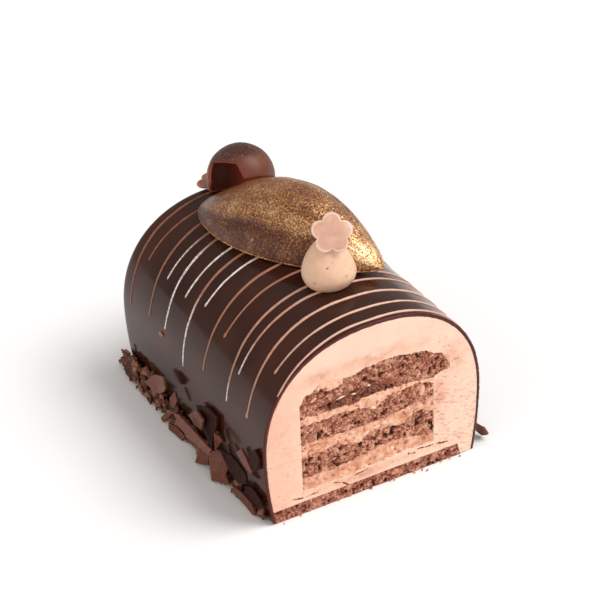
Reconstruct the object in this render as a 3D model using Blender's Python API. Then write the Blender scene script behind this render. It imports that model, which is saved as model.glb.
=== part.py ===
"""Yule log cake, cut in half: a glazed mousse log with a layered sponge insert that shows at the cut.

Metres, +Z up. The log lies along Y with its cut face towards -Y and rests on Z = 0.
The origin is the middle of the log's underside.
"""

import math
import random

import bmesh
import bpy
from mathutils import Matrix, Vector

MM = 0.001
GAP = 0.3 * MM                      # air kept between pieces that touch

# The log: an arch with upright, slightly tucked-in feet
LOG_WIDTH = 90.0 * MM
LOG_LENGTH = 118.6 * MM
SPRING_HEIGHT = 28.5 * MM           # where the upright sides end and the arch begins
ARCH_RISE = 43.1 * MM
ARCH_POWER = 2.29                   # 2 is an ellipse, more is squarer
FOOT_TUCK = 2.6 * MM                # how far the sides draw in at the bottom
END_ROUND = 3.5 * MM                # rounded edge of the glazed far end
GLAZE_THICK = 1.1 * MM
GLAZE_HEM = 0.4 * MM                # the glaze stops this far above the board
FRONT = -LOG_LENGTH / 2
BACK = LOG_LENGTH / 2
CREST = SPRING_HEIGHT + ARCH_RISE

# The insert: flat layers whose edges wander, as (x, z) in millimetres, top to bottom
INSERT_BACK = BACK - 9.0 * MM
LAYER_EDGES = [
    [(-30, 47.5), (-27, 51), (-20, 54), (-10, 52.5), (-3, 54), (8, 54.6), (20, 52.5), (28, 49), (32, 44)],
    [(-30, 41.6), (-18, 41.4), (-8, 40.6), (2, 41.6), (12, 41), (24, 39.6), (32, 41)],
    [(-30, 38.4), (-14, 38.5), (-6, 37.2), (0, 35.4), (6, 38.2), (18, 39.3), (26, 37)],
    [(-30, 30.4), (-18, 29.8), (-4, 29.4), (8, 30), (26, 30.8)],
    [(-30, 24.8), (-15, 25), (-8, 22.4), (0, 25), (6, 24.8), (11, 23.6), (19, 27), (26, 24)],
    [(-30, 15.8), (-14, 15.2), (-4, 17), (8, 17.6), (26, 14.6)],
    [(-30, 10.4), (-10, 10), (4, 10.8), (14, 11.4), (26, 11)],
]
LAYERS = [                          # name, left x, right x in millimetres, is it sponge
    ("insert_sponge_top", -30.0, 32.0, True),
    ("insert_cream_top", -29.8, 25.2, False),
    ("insert_sponge_middle", -29.6, 25.0, True),
    ("insert_cream_middle", -29.6, 24.8, False),
    ("insert_sponge_bottom", -29.6, 25.0, True),
    ("insert_cream_bottom", -29.6, 24.6, False),
]
LAYER_STEP = 2.2 * MM               # spacing of the points along a layer's edge

BASE_THICK = 5.2 * MM
BASE_RIGHT = 37.0 * MM
BASE_BACK = BACK - 5.0 * MM

# The cocoa pod: half a ribbed spindle, flat below, lying askew on the crest
POD_REAR = Vector((-11.8, 46.2, 72.0)) * MM
POD_TIP = Vector((20.9, -31.7, 72.0)) * MM
POD_HALF_WIDTH = 19.3 * MM
POD_HEIGHT = 22.2 * MM
POD_GROOVES = [(30, 0.060), (60, 0.045), (90, 0.022), (120, 0.045), (150, 0.050)]   # degrees, depth share
POD_GROOVE_SPREAD = 6.0             # degrees either side over which a groove fades
POD_STATIONS = 24
POD_AROUND = 30
POD_END_LIFT = 0.4 * MM             # height of the two end points above the flat underside

# The hollow chocolate dome that leans on the pod's rear end, with a broken window
DOME_CENTRE = Vector((2.0, 41.2, 81.8)) * MM
DOME_AXIS = Vector((0.131, 0.587, 0.799)).normalized()
DOME_RADIUS = 13.1 * MM
DOME_WALL = 1.3 * MM
DOME_SKIRT = 2.7 * MM               # how far the rim lies below the sphere's centre
DOME_RIGHT = Vector((0.917, -0.386, 0.133)).normalized()
WINDOW = [(-9.4, 7.2), (-0.4, 3.8), (1.1, -4.8), (-14.5, -4.8)]   # mm, right and up in the dome's frame

# The cream dollop and the two flower plaques
DOLLOP_PLACE = Vector((0.7, -27.8, 71.2)) * MM
DOLLOP_RADIUS = 9.8 * MM
DOLLOP_WAIST = 5.0 * MM             # height of the widest ring
DOLLOP_HEIGHT = 19.8 * MM
DOLLOP_FOOT_SHRINK = 0.41           # sets how far the foot is narrower than the waist
DOLLOP_TAPER, DOLLOP_ROUND = 1.5, 0.7       # powers that shape the cone above the waist
FLOWER_LOBES = 5
LOBE_RADIUS = 3.3 * MM
LOBE_REACH = 4.3 * MM
FLOWER_THICK = 0.9 * MM
FRONT_FLOWER = (Vector((0.9, -30.9, 93.2)) * MM, Vector((-0.393, -0.742, 0.544)), math.radians(0.5))
REAR_FLOWER = (Vector((-0.9, 58.1, 72.45)) * MM, Vector((0.0, 0.0, 1.0)), math.radians(25))

# Chocolate shards along both sides, in mm and degrees:
# y, z, yaw, lean, stand-off, bend, corners (along, up)
SHARD_THICK = 1.0 * MM
LEFT_SHARDS = [
    (17.8, 17.9, 0, 8, 3.0, 1.6, [(9.5, -4), (3.5, 2.5), (-4, 5.5), (-7.5, 3), (-4.5, -1), (2.5, -5.5)]),
    (8.7, 15.3, 20, 6, 1.5, 0.3, [(2, 0.5), (-0.5, 4.5), (-2, 1), (-0.5, -3), (1.5, -3)]),
    (-12.9, 19.9, -5, 6, 2.2, 0.2, [(8, -2.5), (0.5, 4), (-6, 4), (-4.5, -1.5), (2, -3.5)]),
    (-14.6, 16.4, 4, 13, 5.4, 0.3, [(13, 1.5), (9.5, 2.5), (-4, 1.5), (-14, 1), (-13.5, -2), (0.5, -3), (8.5, -2)]),
    (-20, 21.9, 0, 4, 0.2, 0.6, [(10, 2.5), (1, 6.5), (-6.5, 7), (-6, 3), (-3, -4), (-2, -10), (7, -5.5)]),
    (7.1, 2.2, 10, 20, 3.8, 0.3, [(5.5, 1), (0, 1.5), (-5.5, 0.5), (-4.5, -2), (4.5, -1.5)]),
    (-14.9, 4.1, 22, 14, 2.4, 0.2, [(2, 3.5), (-2.5, 2.5), (-3, -2.5), (3.5, -4)]),
    (-28, 8.0, 24, 10, 0.5, 0.2, [(6, 2.5), (2.5, 6.5), (-1.5, 5), (-4, 2.5), (-2.5, -2.5), (-4.5, -6), (4, -8)]),
    (-27.1, 18.8, 25, 8, 0.6, 0.2, [(2, 3), (-1, 2), (-2, 1), (-0.5, -1), (1.5, -5)]),
    (-40.7, 14.8, 3, 8, 1.0, 0.8, [(11.5, 2.5), (3.5, 4), (-7, 2.5), (-9, -1), (-3, -4.5), (3.5, -3.5)]),
    (-47.7, 22.8, 6, 6, 0.4, 0.3, [(5.5, 1), (2.5, 4), (-0.5, 2), (-4.5, -1.5), (-4, -3), (1, -2)]),
    (-54.8, 28, 0, 3, 0.1, 0.3, [(4, 0.5), (-0.5, 5), (-3.5, 3), (-3.5, -0.5), (0, -5.5), (3.5, -3)]),
    (-44.4, 2.6, 4, 8, 1.7, 0.3, [(9, -1), (7, 2), (1, 2), (-4.5, 1.5), (-8.5, -1.5), (-6, -2.5), (2, -1.5)]),
    (-51.8, 8.8, 0, 6, 0.3, 0.5, [(7.5, 0.5), (3, 3), (-4.5, 2), (-7, 0), (-4, -3), (5.5, -2.5)]),
]
RIGHT_SHARDS = [
    (-55, 3.4, 20, 20, 3.6, 0.3, [(3, -2), (2, 3), (-2, 2.5), (-3, -1), (0, -3)]),
    (-42, 12.5, -6, 6, 0.6, 0.8, [(7.5, -3), (5, 5), (-3, 6.5), (-8, 1), (-4, -6)]),
    (-24, 14.0, 6, 6, 0.6, 0.5, [(8, 2), (1, 7.5), (-7, 5), (-7.5, -4), (2, -7)]),
    (-4, 8.5, -8, 16, 4.0, 1.4, [(7.5, 1), (2, 5.5), (-6, 3.5), (-7, -3.5), (1, -5.5)]),
    (14, 13.5, 10, 6, 0.6, 0.6, [(5.5, -4), (6, 4), (-1, 8), (-6.5, 1), (-3, -7)]),
    (32, 12.0, -5, 9, 1.6, 1.8, [(7, 0), (3, 5), (-5, 4), (-6.5, -2), (0, -5)]),
]
LEFT_MILK, RIGHT_MILK = (1, 2, 3, 4, 6, 7, 8, 9, 11, 13), (1, 3, 5)    # numbers of the milk chocolate shards

# Banks of fine shavings: y of each control, height and reach in millimetres
LEFT_BANK = [(-55, 2.4, 1.6), (-42, 3.0, 1.6), (-31, 3.2, 1.4), (-19, 4.5, 2.0), (-7, 7.0, 3.2), (6, 8.0, 3.4),
             (22, 8.5, 3.2), (34, 11.0, 5.0), (48, 10.5, 5.0), (57, 8.0, 4.2), (64, 2.5, 2.0)]
RIGHT_BANK = [(-50, 3.4, 2.4), (-24, 4.2, 2.8), (-4, 6.0, 3.0), (14, 4.2, 3.0), (36, 4.4, 3.0), (46, 10.0, 5.0),
              (54, 7.0, 3.8), (58, 2.4, 2.0)]
BANK_STATIONS = 40
BOARD_GAP = 0.1 * MM                # the banks and shards stay this far above the board


def clear_scene():
    for item in list(bpy.data.objects):
        bpy.data.objects.remove(item, do_unlink=True)


def material(name, colour, roughness, metallic=0.0):
    """A Principled material from an sRGB colour."""
    found = bpy.data.materials.get(name)
    if found:
        return found
    made = bpy.data.materials.new(name)
    made.use_nodes = True
    shader = made.node_tree.nodes["Principled BSDF"]
    linear = [(c / 12.92) if c <= 0.04045 else ((c + 0.055) / 1.055) ** 2.4 for c in colour]
    shader.inputs["Base Color"].default_value = (*linear, 1.0)
    shader.inputs["Roughness"].default_value = roughness
    shader.inputs["Metallic"].default_value = metallic
    return made


def add_mesh(name, points, faces, finish=None, sharp=40.0):
    """A mesh object; its faces are turned outwards and shaded smooth up to the sharp angle."""
    mesh = bpy.data.meshes.new(name)
    mesh.from_pydata([tuple(p) for p in points], [], faces)
    work = bmesh.new()
    work.from_mesh(mesh)
    bmesh.ops.recalc_face_normals(work, faces=work.faces)
    work.to_mesh(mesh)
    work.free()
    mesh.shade_smooth()
    mesh.set_sharp_from_angle(angle=math.radians(sharp))
    made = bpy.data.objects.new(name, mesh)
    bpy.context.collection.objects.link(made)
    if finish:
        mesh.materials.append(finish)
    return made


def cutter(name, points, faces):
    """A shape that only cuts others, so it is hidden from the build."""
    made = add_mesh(name, points, faces)
    made.hide_render = True
    made.display_type = "WIRE"
    return made


def cut(target, tool):
    step = target.modifiers.new("cut_" + tool.name, "BOOLEAN")
    step.operation = "DIFFERENCE"
    step.solver = "EXACT"
    step.object = tool


def loft(rings):
    """Points and faces of a closed body: rings of equal length bridged in order, both ends capped."""
    count = len(rings[0])
    points = [p for ring in rings for p in ring]
    faces = [list(range(count)), list(range(len(points) - count, len(points)))]
    for r in range(len(rings) - 1):
        for i in range(count):
            j = (i + 1) % count
            faces.append([r * count + i, r * count + j, (r + 1) * count + j, (r + 1) * count + i])
    return points, faces


def spindle(first, rings, last):
    """Like loft, but both ends close on a single point."""
    count = len(rings[0])
    points = [first] + [p for ring in rings for p in ring] + [last]
    faces = []
    for i in range(count):
        j = (i + 1) % count
        faces.append([0, 1 + i, 1 + j])
        end = 1 + (len(rings) - 1) * count
        faces.append([len(points) - 1, end + j, end + i])
    for r in range(len(rings) - 1):
        for i in range(count):
            j = (i + 1) % count
            a = 1 + r * count
            faces.append([a + i, a + j, a + count + j, a + count + i])
    return points, faces


def eased(controls, at):
    """Smooth curve through (position, value) controls: a cosine ease between neighbours."""
    if at <= controls[0][0]:
        return controls[0][1]
    for (x0, v0), (x1, v1) in zip(controls, controls[1:]):
        if at <= x1:
            share = (1 - math.cos(math.pi * (at - x0) / (x1 - x0))) / 2
            return v0 + (v1 - v0) * share
    return controls[-1][1]


# ---- the log --------------------------------------------------------------------------------

def side_x(z):
    """Half width of the log at height z on its upright side."""
    low = max(0.0, (SPRING_HEIGHT - z) / SPRING_HEIGHT)
    return LOG_WIDTH / 2 - FOOT_TUCK * low * low


def arch(inset, bottom, steps=36, feet=4):
    """The log's outline from the left foot over the crest to the right foot, drawn in by an inset."""
    shrink_x = (LOG_WIDTH / 2 - inset) / (LOG_WIDTH / 2)
    shrink_z = (CREST - inset) / CREST
    left = [(-side_x(SPRING_HEIGHT * k / feet), SPRING_HEIGHT * k / feet) for k in range(feet)]
    left[0] = (left[0][0], bottom / shrink_z)
    over = []
    for k in range(steps + 1):
        turn = math.pi * (1 - k / steps)
        across, up = math.cos(turn), math.sin(turn)
        x = math.copysign(abs(across) ** (2 / ARCH_POWER), across) * LOG_WIDTH / 2
        over.append((x, SPRING_HEIGHT + ARCH_RISE * max(0.0, up) ** (2 / ARCH_POWER)))
    right = [(-x, z) for x, z in reversed(left)]
    return [(x * shrink_x, z * shrink_z) for x, z in left + over + right]


def log_body(inset, front, bottom, rounding=4):
    """The arch run along Y from the front to the far end, whose edge is rounded."""
    back = BACK - inset
    stations = [(front, 0.0)]
    for k in range(rounding + 1):
        turn = math.pi / 2 * k / rounding
        stations.append((back - END_ROUND * (1 - math.sin(turn)), END_ROUND * (1 - math.cos(turn))))
    rings = [[(x, y, z) for x, z in arch(inset + pull, bottom)] for y, pull in stations]
    return loft(rings)


def make_glaze():
    dark = material("mirror_glaze", (0.16, 0.10, 0.09), 0.12)
    glaze = add_mesh("glaze", *log_body(0.0, FRONT, GLAZE_HEM), dark)
    cut(glaze, cutter("glaze_core", *log_body(GLAZE_THICK, FRONT - 2 * MM, -2 * MM)))
    return glaze


# ---- insert and base ------------------------------------------------------------------------

def layer_outline(index, gap):
    """Outline of one layer between its two wandering edges, kept half a gap off both."""
    _, left, right, _ = LAYERS[index]
    left, right = left * MM, right * MM
    upper = [(x * MM, z * MM) for x, z in LAYER_EDGES[index]]
    lower = [(x * MM, z * MM) for x, z in LAYER_EDGES[index + 1]]
    steps = round((right - left) / LAYER_STEP)
    across = [left + (right - left) * k / steps for k in range(steps + 1)]
    top = [(x, eased(upper, x) - gap / 2) for x in across]
    bottom = [(x, eased(lower, x) + gap / 2) for x in reversed(across)]
    return top + bottom


def grown(outline, by):
    """The outline pushed outwards along its corner normals; it runs clockwise."""
    out = []
    for k, (x, z) in enumerate(outline):
        before, after = outline[k - 1], outline[(k + 1) % len(outline)]
        along = Vector((after[0] - before[0], after[1] - before[1])).normalized()
        out.append((x - along.y * by, z + along.x * by))
    return out


def extrude_y(outline, front, back):
    return loft([[(x, y, z) for x, z in outline] for y in (front, back)])


def base_outline(top, right, foot):
    """Section of the base sponge, whose left edge follows the inside of the glaze."""
    inner = GLAZE_THICK + GAP
    return [(-side_x(foot) + inner, foot), (-side_x(top) + inner, top), (right - 1.5 * MM, top), (right, foot)]


def make_core():
    mousse_colour = material("mousse", (0.96, 0.81, 0.69), 0.6)
    sponge_colour = material("sponge", (0.42, 0.24, 0.17), 0.85)
    cream_colour = material("insert_cream", (0.80, 0.58, 0.45), 0.5)
    mousse = add_mesh("mousse", *log_body(GLAZE_THICK + GAP, FRONT, 0.0), mousse_colour)
    for index, (name, _, _, is_sponge) in enumerate(LAYERS):
        colour = sponge_colour if is_sponge else cream_colour
        outline = layer_outline(index, GAP)
        add_mesh(name, *extrude_y(outline, FRONT, INSERT_BACK), colour)
        pocket = grown(outline, GAP)
        cut(mousse, cutter(name + "_pocket", *extrude_y(pocket, FRONT - 2 * MM, INSERT_BACK + GAP)))
    base = base_outline(BASE_THICK, BASE_RIGHT, 0.0)
    add_mesh("base_sponge", *extrude_y(base, FRONT, BASE_BACK), sponge_colour)
    hollow = [(-LOG_WIDTH, -2 * MM), (-LOG_WIDTH, BASE_THICK + GAP), (BASE_RIGHT - 1.2 * MM, BASE_THICK + GAP),
              (BASE_RIGHT + 2 * GAP, -2 * MM)]
    cut(mousse, cutter("base_pocket", *extrude_y(hollow, FRONT - 2 * MM, BASE_BACK + GAP)))


# ---- cocoa pod ------------------------------------------------------------------------------

def pod_shape(grow):
    """Rings of the half spindle, t from rear to tip and each ring from its left edge over the top.

    half width(t) = w sin(pi t^0.83)^0.62, height(t) = h sin(pi t^1.01)^0.84 (1 - 0.14 e^-(t/0.45)^2),
    and both are drawn in at the grooves between the ribs, each a bell curve across the ring.
    grow swells the whole shape, for the clearance cut around it.
    """
    along = POD_TIP - POD_REAR
    heading = along.normalized()
    sideways = Vector((heading.y, -heading.x, 0.0))
    rings = []
    for k in range(1, POD_STATIONS):
        t = (1 - math.cos(math.pi * k / POD_STATIONS)) / 2
        width = POD_HALF_WIDTH * math.sin(math.pi * t ** 0.83) ** 0.62 + grow
        height = POD_HEIGHT * math.sin(math.pi * t ** 1.01) ** 0.84
        height = height * (1 - 0.14 * math.exp(-(t / 0.45) ** 2)) + grow
        ring = []
        for i in range(POD_AROUND + 1):
            angle = 180.0 * i / POD_AROUND
            turn = math.radians(angle)
            keep = 1 - sum(deep * math.exp(-((angle - at) / POD_GROOVE_SPREAD) ** 2)
                           for at, deep in POD_GROOVES)
            ring.append(POD_REAR + along * t + sideways * (width * keep * math.cos(turn))
                        + Vector((0, 0, height * keep * math.sin(turn) - grow)))
        rings.append(ring)
    lift = Vector((0, 0, POD_END_LIFT))
    return spindle(POD_REAR - heading * grow + lift, rings, POD_TIP + heading * grow + lift)


def make_pod():
    add_mesh("cocoa_pod", *pod_shape(0.0), material("pod_chocolate", (0.50, 0.34, 0.22), 0.4), sharp=50)


# ---- hollow dome ----------------------------------------------------------------------------

def frame_matrix(place, axis, side):
    """Local Z along the axis, local X as near as possible to side, origin at place."""
    z = axis.normalized()
    x = (side - z * side.dot(z)).normalized()
    turn = Matrix((x, z.cross(x), z)).transposed()
    return Matrix.Translation(place) @ turn.to_4x4()


def make_dome(around=32, rows=7):
    frame = frame_matrix(DOME_CENTRE, DOME_AXIS, DOME_RIGHT)

    def ring(radius, polar):
        flat, up = radius * math.sin(polar), radius * math.cos(polar)
        return [frame @ Vector((flat * math.cos(a), flat * math.sin(a), up))
                for a in (2 * math.pi * k / around for k in range(around))]

    inner = DOME_RADIUS - DOME_WALL
    rings = []
    for radius, order in ((DOME_RADIUS, range(1, rows + 1)), (inner, range(rows, 0, -1))):
        last = math.pi / 2 + math.asin(DOME_SKIRT / radius)
        rings += [ring(radius, last * k / rows) for k in order]
    first = frame @ Vector((0, 0, DOME_RADIUS))
    last = frame @ Vector((0, 0, inner))
    dark = material("dark_chocolate", (0.36, 0.2, 0.14), 0.3)
    dome = add_mesh("chocolate_dome", *spindle(first, rings, last), dark)
    through = (-1.5 * DOME_RADIUS, 0.0)         # from well in front of the dome to its middle
    window = [[frame @ Vector((x * MM, y, z * MM)) for x, z in WINDOW] for y in through]
    cut(dome, cutter("dome_window", *loft(window)))


# ---- dollop and flowers ---------------------------------------------------------------------

def flower_shape(pose, grow, points_per_lobe=8):
    """Five round lobes: r(a) = d cos a + sqrt(q^2 - d^2 sin^2 a), a measured from the lobe's axis."""
    place, facing, spin = pose
    frame = frame_matrix(place, facing, Vector((1, 0, 0)))
    count = FLOWER_LOBES * points_per_lobe
    outline = []
    for k in range(count):
        turn = 2 * math.pi * k / count
        lobe = 2 * math.pi / FLOWER_LOBES
        off = (turn + lobe / 2) % lobe - lobe / 2
        across = LOBE_REACH * math.sin(off)
        radius = LOBE_REACH * math.cos(off) + math.sqrt(LOBE_RADIUS ** 2 - across ** 2) + grow
        outline.append((radius * math.cos(turn + spin), radius * math.sin(turn + spin)))
    half = FLOWER_THICK / 2 + grow
    return loft([[frame @ Vector((x, y, h)) for x, y in outline] for h in (-half, half)])


def dollop_radius(height):
    """Bulging below the waist, a rounded cone above it."""
    if height <= DOLLOP_WAIST:
        return DOLLOP_RADIUS * math.sqrt(1 - DOLLOP_FOOT_SHRINK * (1 - height / DOLLOP_WAIST) ** 2)
    share = (height - DOLLOP_WAIST) / (DOLLOP_HEIGHT - DOLLOP_WAIST)
    return DOLLOP_RADIUS * max(0.0, 1 - share ** DOLLOP_TAPER) ** DOLLOP_ROUND


def make_toppings(around=28, rows=12):
    cream = material("piped_cream", (0.91, 0.75, 0.63), 0.6)
    milk = material("milk_chocolate", (0.80, 0.58, 0.49), 0.4)
    levels = [DOLLOP_HEIGHT * math.sin(math.pi / 2 * k / rows) for k in range(rows)]
    rings = []
    for level in levels:
        radius = dollop_radius(level)
        rings.append([DOLLOP_PLACE + Vector((radius * math.cos(a), radius * math.sin(a), level))
                      for a in (2 * math.pi * k / around for k in range(around))])
    foot = DOLLOP_PLACE - Vector((0, 0, 1 * MM))
    peak = DOLLOP_PLACE + Vector((0, 0, DOLLOP_HEIGHT))
    dollop = add_mesh("cream_dollop", *spindle(foot, rings, peak), cream)
    add_mesh("flower_front", *flower_shape(FRONT_FLOWER, 0.0), milk)
    rear = add_mesh("flower_rear", *flower_shape(REAR_FLOWER, 0.0), milk)
    log = cutter("log_clearance", *log_body(-GAP, FRONT - 2 * MM, -2 * MM))
    cut(dollop, log)
    cut(dollop, cutter("pod_clearance", *pod_shape(GAP)))
    cut(dollop, cutter("flower_clearance", *flower_shape(FRONT_FLOWER, GAP)))
    cut(rear, log)


# ---- shards and shavings --------------------------------------------------------------------

def make_shard(name, side, spec, colour):
    """A flat splinter leaning on the log; side is -1 on the left and 1 on the right.

    It curls outwards by bend (u / half length)^2 at distance u along it. It is pushed off the log
    until its nearest point is a gap away, then by its stand-off.
    """
    y, z, yaw, lean, stand_off, bend, corners = spec
    corners = [Vector(corner) * MM for corner in corners]
    half_length = max(abs(corner.x) for corner in corners)
    tilt = Matrix.Rotation(math.radians(yaw), 3, "Z") @ Matrix.Rotation(math.radians(-side * lean), 3, "Y")
    outline = []
    for a, b in zip(corners, corners[1:] + corners[:1]):
        outline += [a, (a + b) / 2]
    layers = []
    for face in (-1, 1):
        for share in (1.0, 0.5):
            ring = []
            for point in outline:
                u, v = point * share
                curl = bend * MM * (u / half_length) ** 2
                ring.append(tilt @ Vector((side * (face * SHARD_THICK / 2 + curl), u, v)))
            layers.append(ring)
        layers.append([tilt @ Vector((side * face * SHARD_THICK / 2, 0, 0))])
    outer_a, inner_a, centre_a, outer_b, inner_b, centre_b = layers
    points, faces = spindle(centre_a[0], [inner_a, outer_a, outer_b, inner_b], centre_b[0])
    lift = max(z * MM, BOARD_GAP - min(p.z for p in points))
    push = max(side_x(p.z + lift) + GAP - side * p.x for p in points)
    move = Vector((side * (push + stand_off * MM), y * MM, lift))
    add_mesh(name, [p + move for p in points], faces, colour, sharp=30)


def make_bank(name, side, controls, seed, colour):
    """A low uneven bank of fine shavings between the board and the log's side."""
    rng = random.Random(seed)
    first, last = controls[0][0], controls[-1][0]
    rings = []
    for k in range(BANK_STATIONS + 1):
        y = first + (last - first) * k / BANK_STATIONS
        height = eased([(c[0], c[1]) for c in controls], y) * rng.uniform(0.85, 1.12) * MM
        reach = eased([(c[0], c[2]) for c in controls], y) * rng.uniform(0.85, 1.12) * MM
        foot, head = side_x(0.0) + 2 * GAP, side_x(height) + 2 * GAP
        section = [(foot, BOARD_GAP), (foot + reach, BOARD_GAP), (foot + 0.9 * reach, 0.4 * height),
                   (foot + 0.5 * reach + 0.4 * MM, 0.85 * height), (head, height)]
        rings.append([(side * x, y * MM, z) for x, z in section])
    points, faces = loft(rings)
    add_mesh(name, points, faces, colour)


def make_shards():
    dark = material("shard_dark", (0.24, 0.13, 0.10), 0.35)
    milk = material("shard_milk", (0.55, 0.35, 0.27), 0.4)
    make_bank("shavings_left", -1, LEFT_BANK, 5, dark)
    make_bank("shavings_right", 1, RIGHT_BANK, 8, dark)
    for side, label, specs, pale in ((-1, "left", LEFT_SHARDS, LEFT_MILK),
                                     (1, "right", RIGHT_SHARDS, RIGHT_MILK)):
        for number, spec in enumerate(specs, 1):
            make_shard(f"shard_{label}_{number:02d}", side, spec, milk if number in pale else dark)


clear_scene()
make_glaze()
make_core()
make_pod()
make_dome()
make_toppings()
make_shards()
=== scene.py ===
import math

import bpy
import numpy as np
from mathutils import Matrix, Vector


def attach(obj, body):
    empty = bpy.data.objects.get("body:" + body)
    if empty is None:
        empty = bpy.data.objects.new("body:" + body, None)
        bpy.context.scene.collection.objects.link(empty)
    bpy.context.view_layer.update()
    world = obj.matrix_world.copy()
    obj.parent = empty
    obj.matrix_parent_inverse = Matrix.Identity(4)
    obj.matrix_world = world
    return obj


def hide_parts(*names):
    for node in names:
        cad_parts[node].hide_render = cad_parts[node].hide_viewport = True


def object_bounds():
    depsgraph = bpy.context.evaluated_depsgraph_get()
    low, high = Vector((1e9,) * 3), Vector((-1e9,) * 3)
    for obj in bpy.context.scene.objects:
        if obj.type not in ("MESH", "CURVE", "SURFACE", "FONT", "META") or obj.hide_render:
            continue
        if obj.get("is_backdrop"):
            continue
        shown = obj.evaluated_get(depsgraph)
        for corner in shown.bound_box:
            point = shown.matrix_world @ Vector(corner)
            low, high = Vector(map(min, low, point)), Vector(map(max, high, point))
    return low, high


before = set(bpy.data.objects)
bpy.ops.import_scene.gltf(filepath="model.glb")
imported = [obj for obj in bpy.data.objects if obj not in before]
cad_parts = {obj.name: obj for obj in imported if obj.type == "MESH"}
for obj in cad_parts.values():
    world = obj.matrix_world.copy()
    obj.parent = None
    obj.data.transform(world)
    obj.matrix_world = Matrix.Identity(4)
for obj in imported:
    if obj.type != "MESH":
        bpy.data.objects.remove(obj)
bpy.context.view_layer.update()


# ---- base sponge ----------------------------------------------------------------------------
# A strip of dark cocoa sponge that the log stands on. It was cut with the log, so its front is
# torn crumb full of pores; the mousse was set on top of it in the mould.

MM = 0.001
FRONT, BACK = -59.3, 59.3               # cut face and glazed far end, mm
BASE_THICK, BASE_RIGHT, BASE_SLANT = 5.2, 37.0, 1.5
BASE_BACK = BACK - 5.0
CORE_INSET = 1.15                       # the glaze's thickness: what lies under it starts here, mm
HALF_WIDTH, FOOT_TUCK, SPRING = 45.0, 2.6, 28.5     # the arch mould, upright up to the spring height, mm


def side_x(z):
    """Half width of the log: below the spring height its foot draws in by the square of the way down."""
    return HALF_WIDTH - FOOT_TUCK * (np.clip(SPRING - z, 0, None) / SPRING) ** 2


def lumps(points, size, seed, octaves=1):
    """Smooth chance values from about -1 to 1.

    Random numbers sit on a cubic lattice of this size in mm and are eased between its corners.
    Each further octave is half as large and half as strong.
    """
    total = np.zeros(len(points))
    for octave in range(octaves):
        place = points / (size / 2 ** octave) + 17.31 * seed + 5.7 * octave
        cell = np.floor(place).astype(np.int64)
        share = place - cell
        share = share * share * (3 - 2 * share)
        for corner in range(8):
            step = np.array([corner & 1, corner >> 1 & 1, corner >> 2])
            key = np.abs((cell + step) @ np.array([73856093, 19349663, 83492791])).astype(np.uint64)
            key = (key ^ (key >> np.uint64(13))) * np.uint64(1274126177) & np.uint64(0xFFFFFFFF)
            chance = ((key ^ (key >> np.uint64(15))) & np.uint64(0xFFFF)).astype(float) / 32767.5 - 1
            total += chance * np.prod(np.where(step, share, 1 - share), axis=1) * 0.5 ** octave
    return total


def ease(value, low, high):
    """0 below low, 1 above high, and an S-shaped rise between them."""
    share = np.clip((value - low) / (high - low), 0, 1)
    return share * share * (3 - 2 * share)


def outward(points, quads, tris):
    """Turns every face over where the closed surface's signed volume is negative."""
    thirds = np.concatenate([quads[:, [0, k, k + 1]] for k in (1, 2)] + [tris])
    a, b, c = (points[thirds[:, k]] for k in range(3))
    if np.einsum("ij,ij->", a, np.cross(b, c)) < 0:
        quads, tris = quads[:, ::-1], tris[:, ::-1]
    return points, quads, tris


def grid_quads(rows, columns, closed):
    """Quads between the neighbours of a grid of points; closed joins its last column to its first."""
    i, j = np.meshgrid(np.arange(rows - 1), np.arange(columns if closed else columns - 1), indexing="ij")
    k = (j + 1) % columns
    row, after = i * columns, (i + 1) * columns
    return np.stack([row + j, row + k, after + k, after + j], -1).reshape(-1, 4)


def skin(rings, first=None, last=None):
    """A closed surface through rings of points, each end drawn together to one point by a fan."""
    rows, columns = rings.shape[:2]
    first = rings[0].mean(0) if first is None else first
    last = rings[-1].mean(0) if last is None else last
    j = np.arange(columns)
    k = (j + 1) % columns
    end = (rows - 1) * columns
    fans = [np.stack([k, j, 0 * j + rows * columns], -1),
            np.stack([end + j, end + k, 0 * j + rows * columns + 1], -1)]
    return outward(np.concatenate([rings.reshape(-1, 3), [first, last]]),
                   grid_quads(rows, columns, True), np.concatenate(fans))


def block(front, back):
    """A closed block: the border of the front grid is carried back to y = back and fanned there."""
    rows, columns = front.shape[:2]
    index = np.arange(rows * columns).reshape(rows, columns)
    border = np.concatenate([index[0, :-1], index[:-1, -1], index[-1, :0:-1], index[:0:-1, 0]])
    flat = front.reshape(-1, 3)
    rim = flat[border] * [1, 0, 1] + [0, back, 0]
    k = np.arange(len(border))
    m = np.roll(k, -1)
    start = rows * columns
    sides = np.stack([border[m], border[k], start + k, start + m], -1)
    fan = np.stack([start + m, start + k, 0 * k + start + len(border)], -1)
    return outward(np.concatenate([flat, rim, [rim.mean(0)]]),
                   np.concatenate([grid_quads(rows, columns, False), sides]), fan)


def joined(shapes):
    """Several closed surfaces as one set of points and faces."""
    points, quads, tris = zip(*shapes)
    starts = np.cumsum([0] + [len(found) for found in points[:-1]])
    return (np.concatenate(points), np.concatenate([q + n for q, n in zip(quads, starts)]),
            np.concatenate([t + n for t, n in zip(tris, starts)]))


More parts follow.
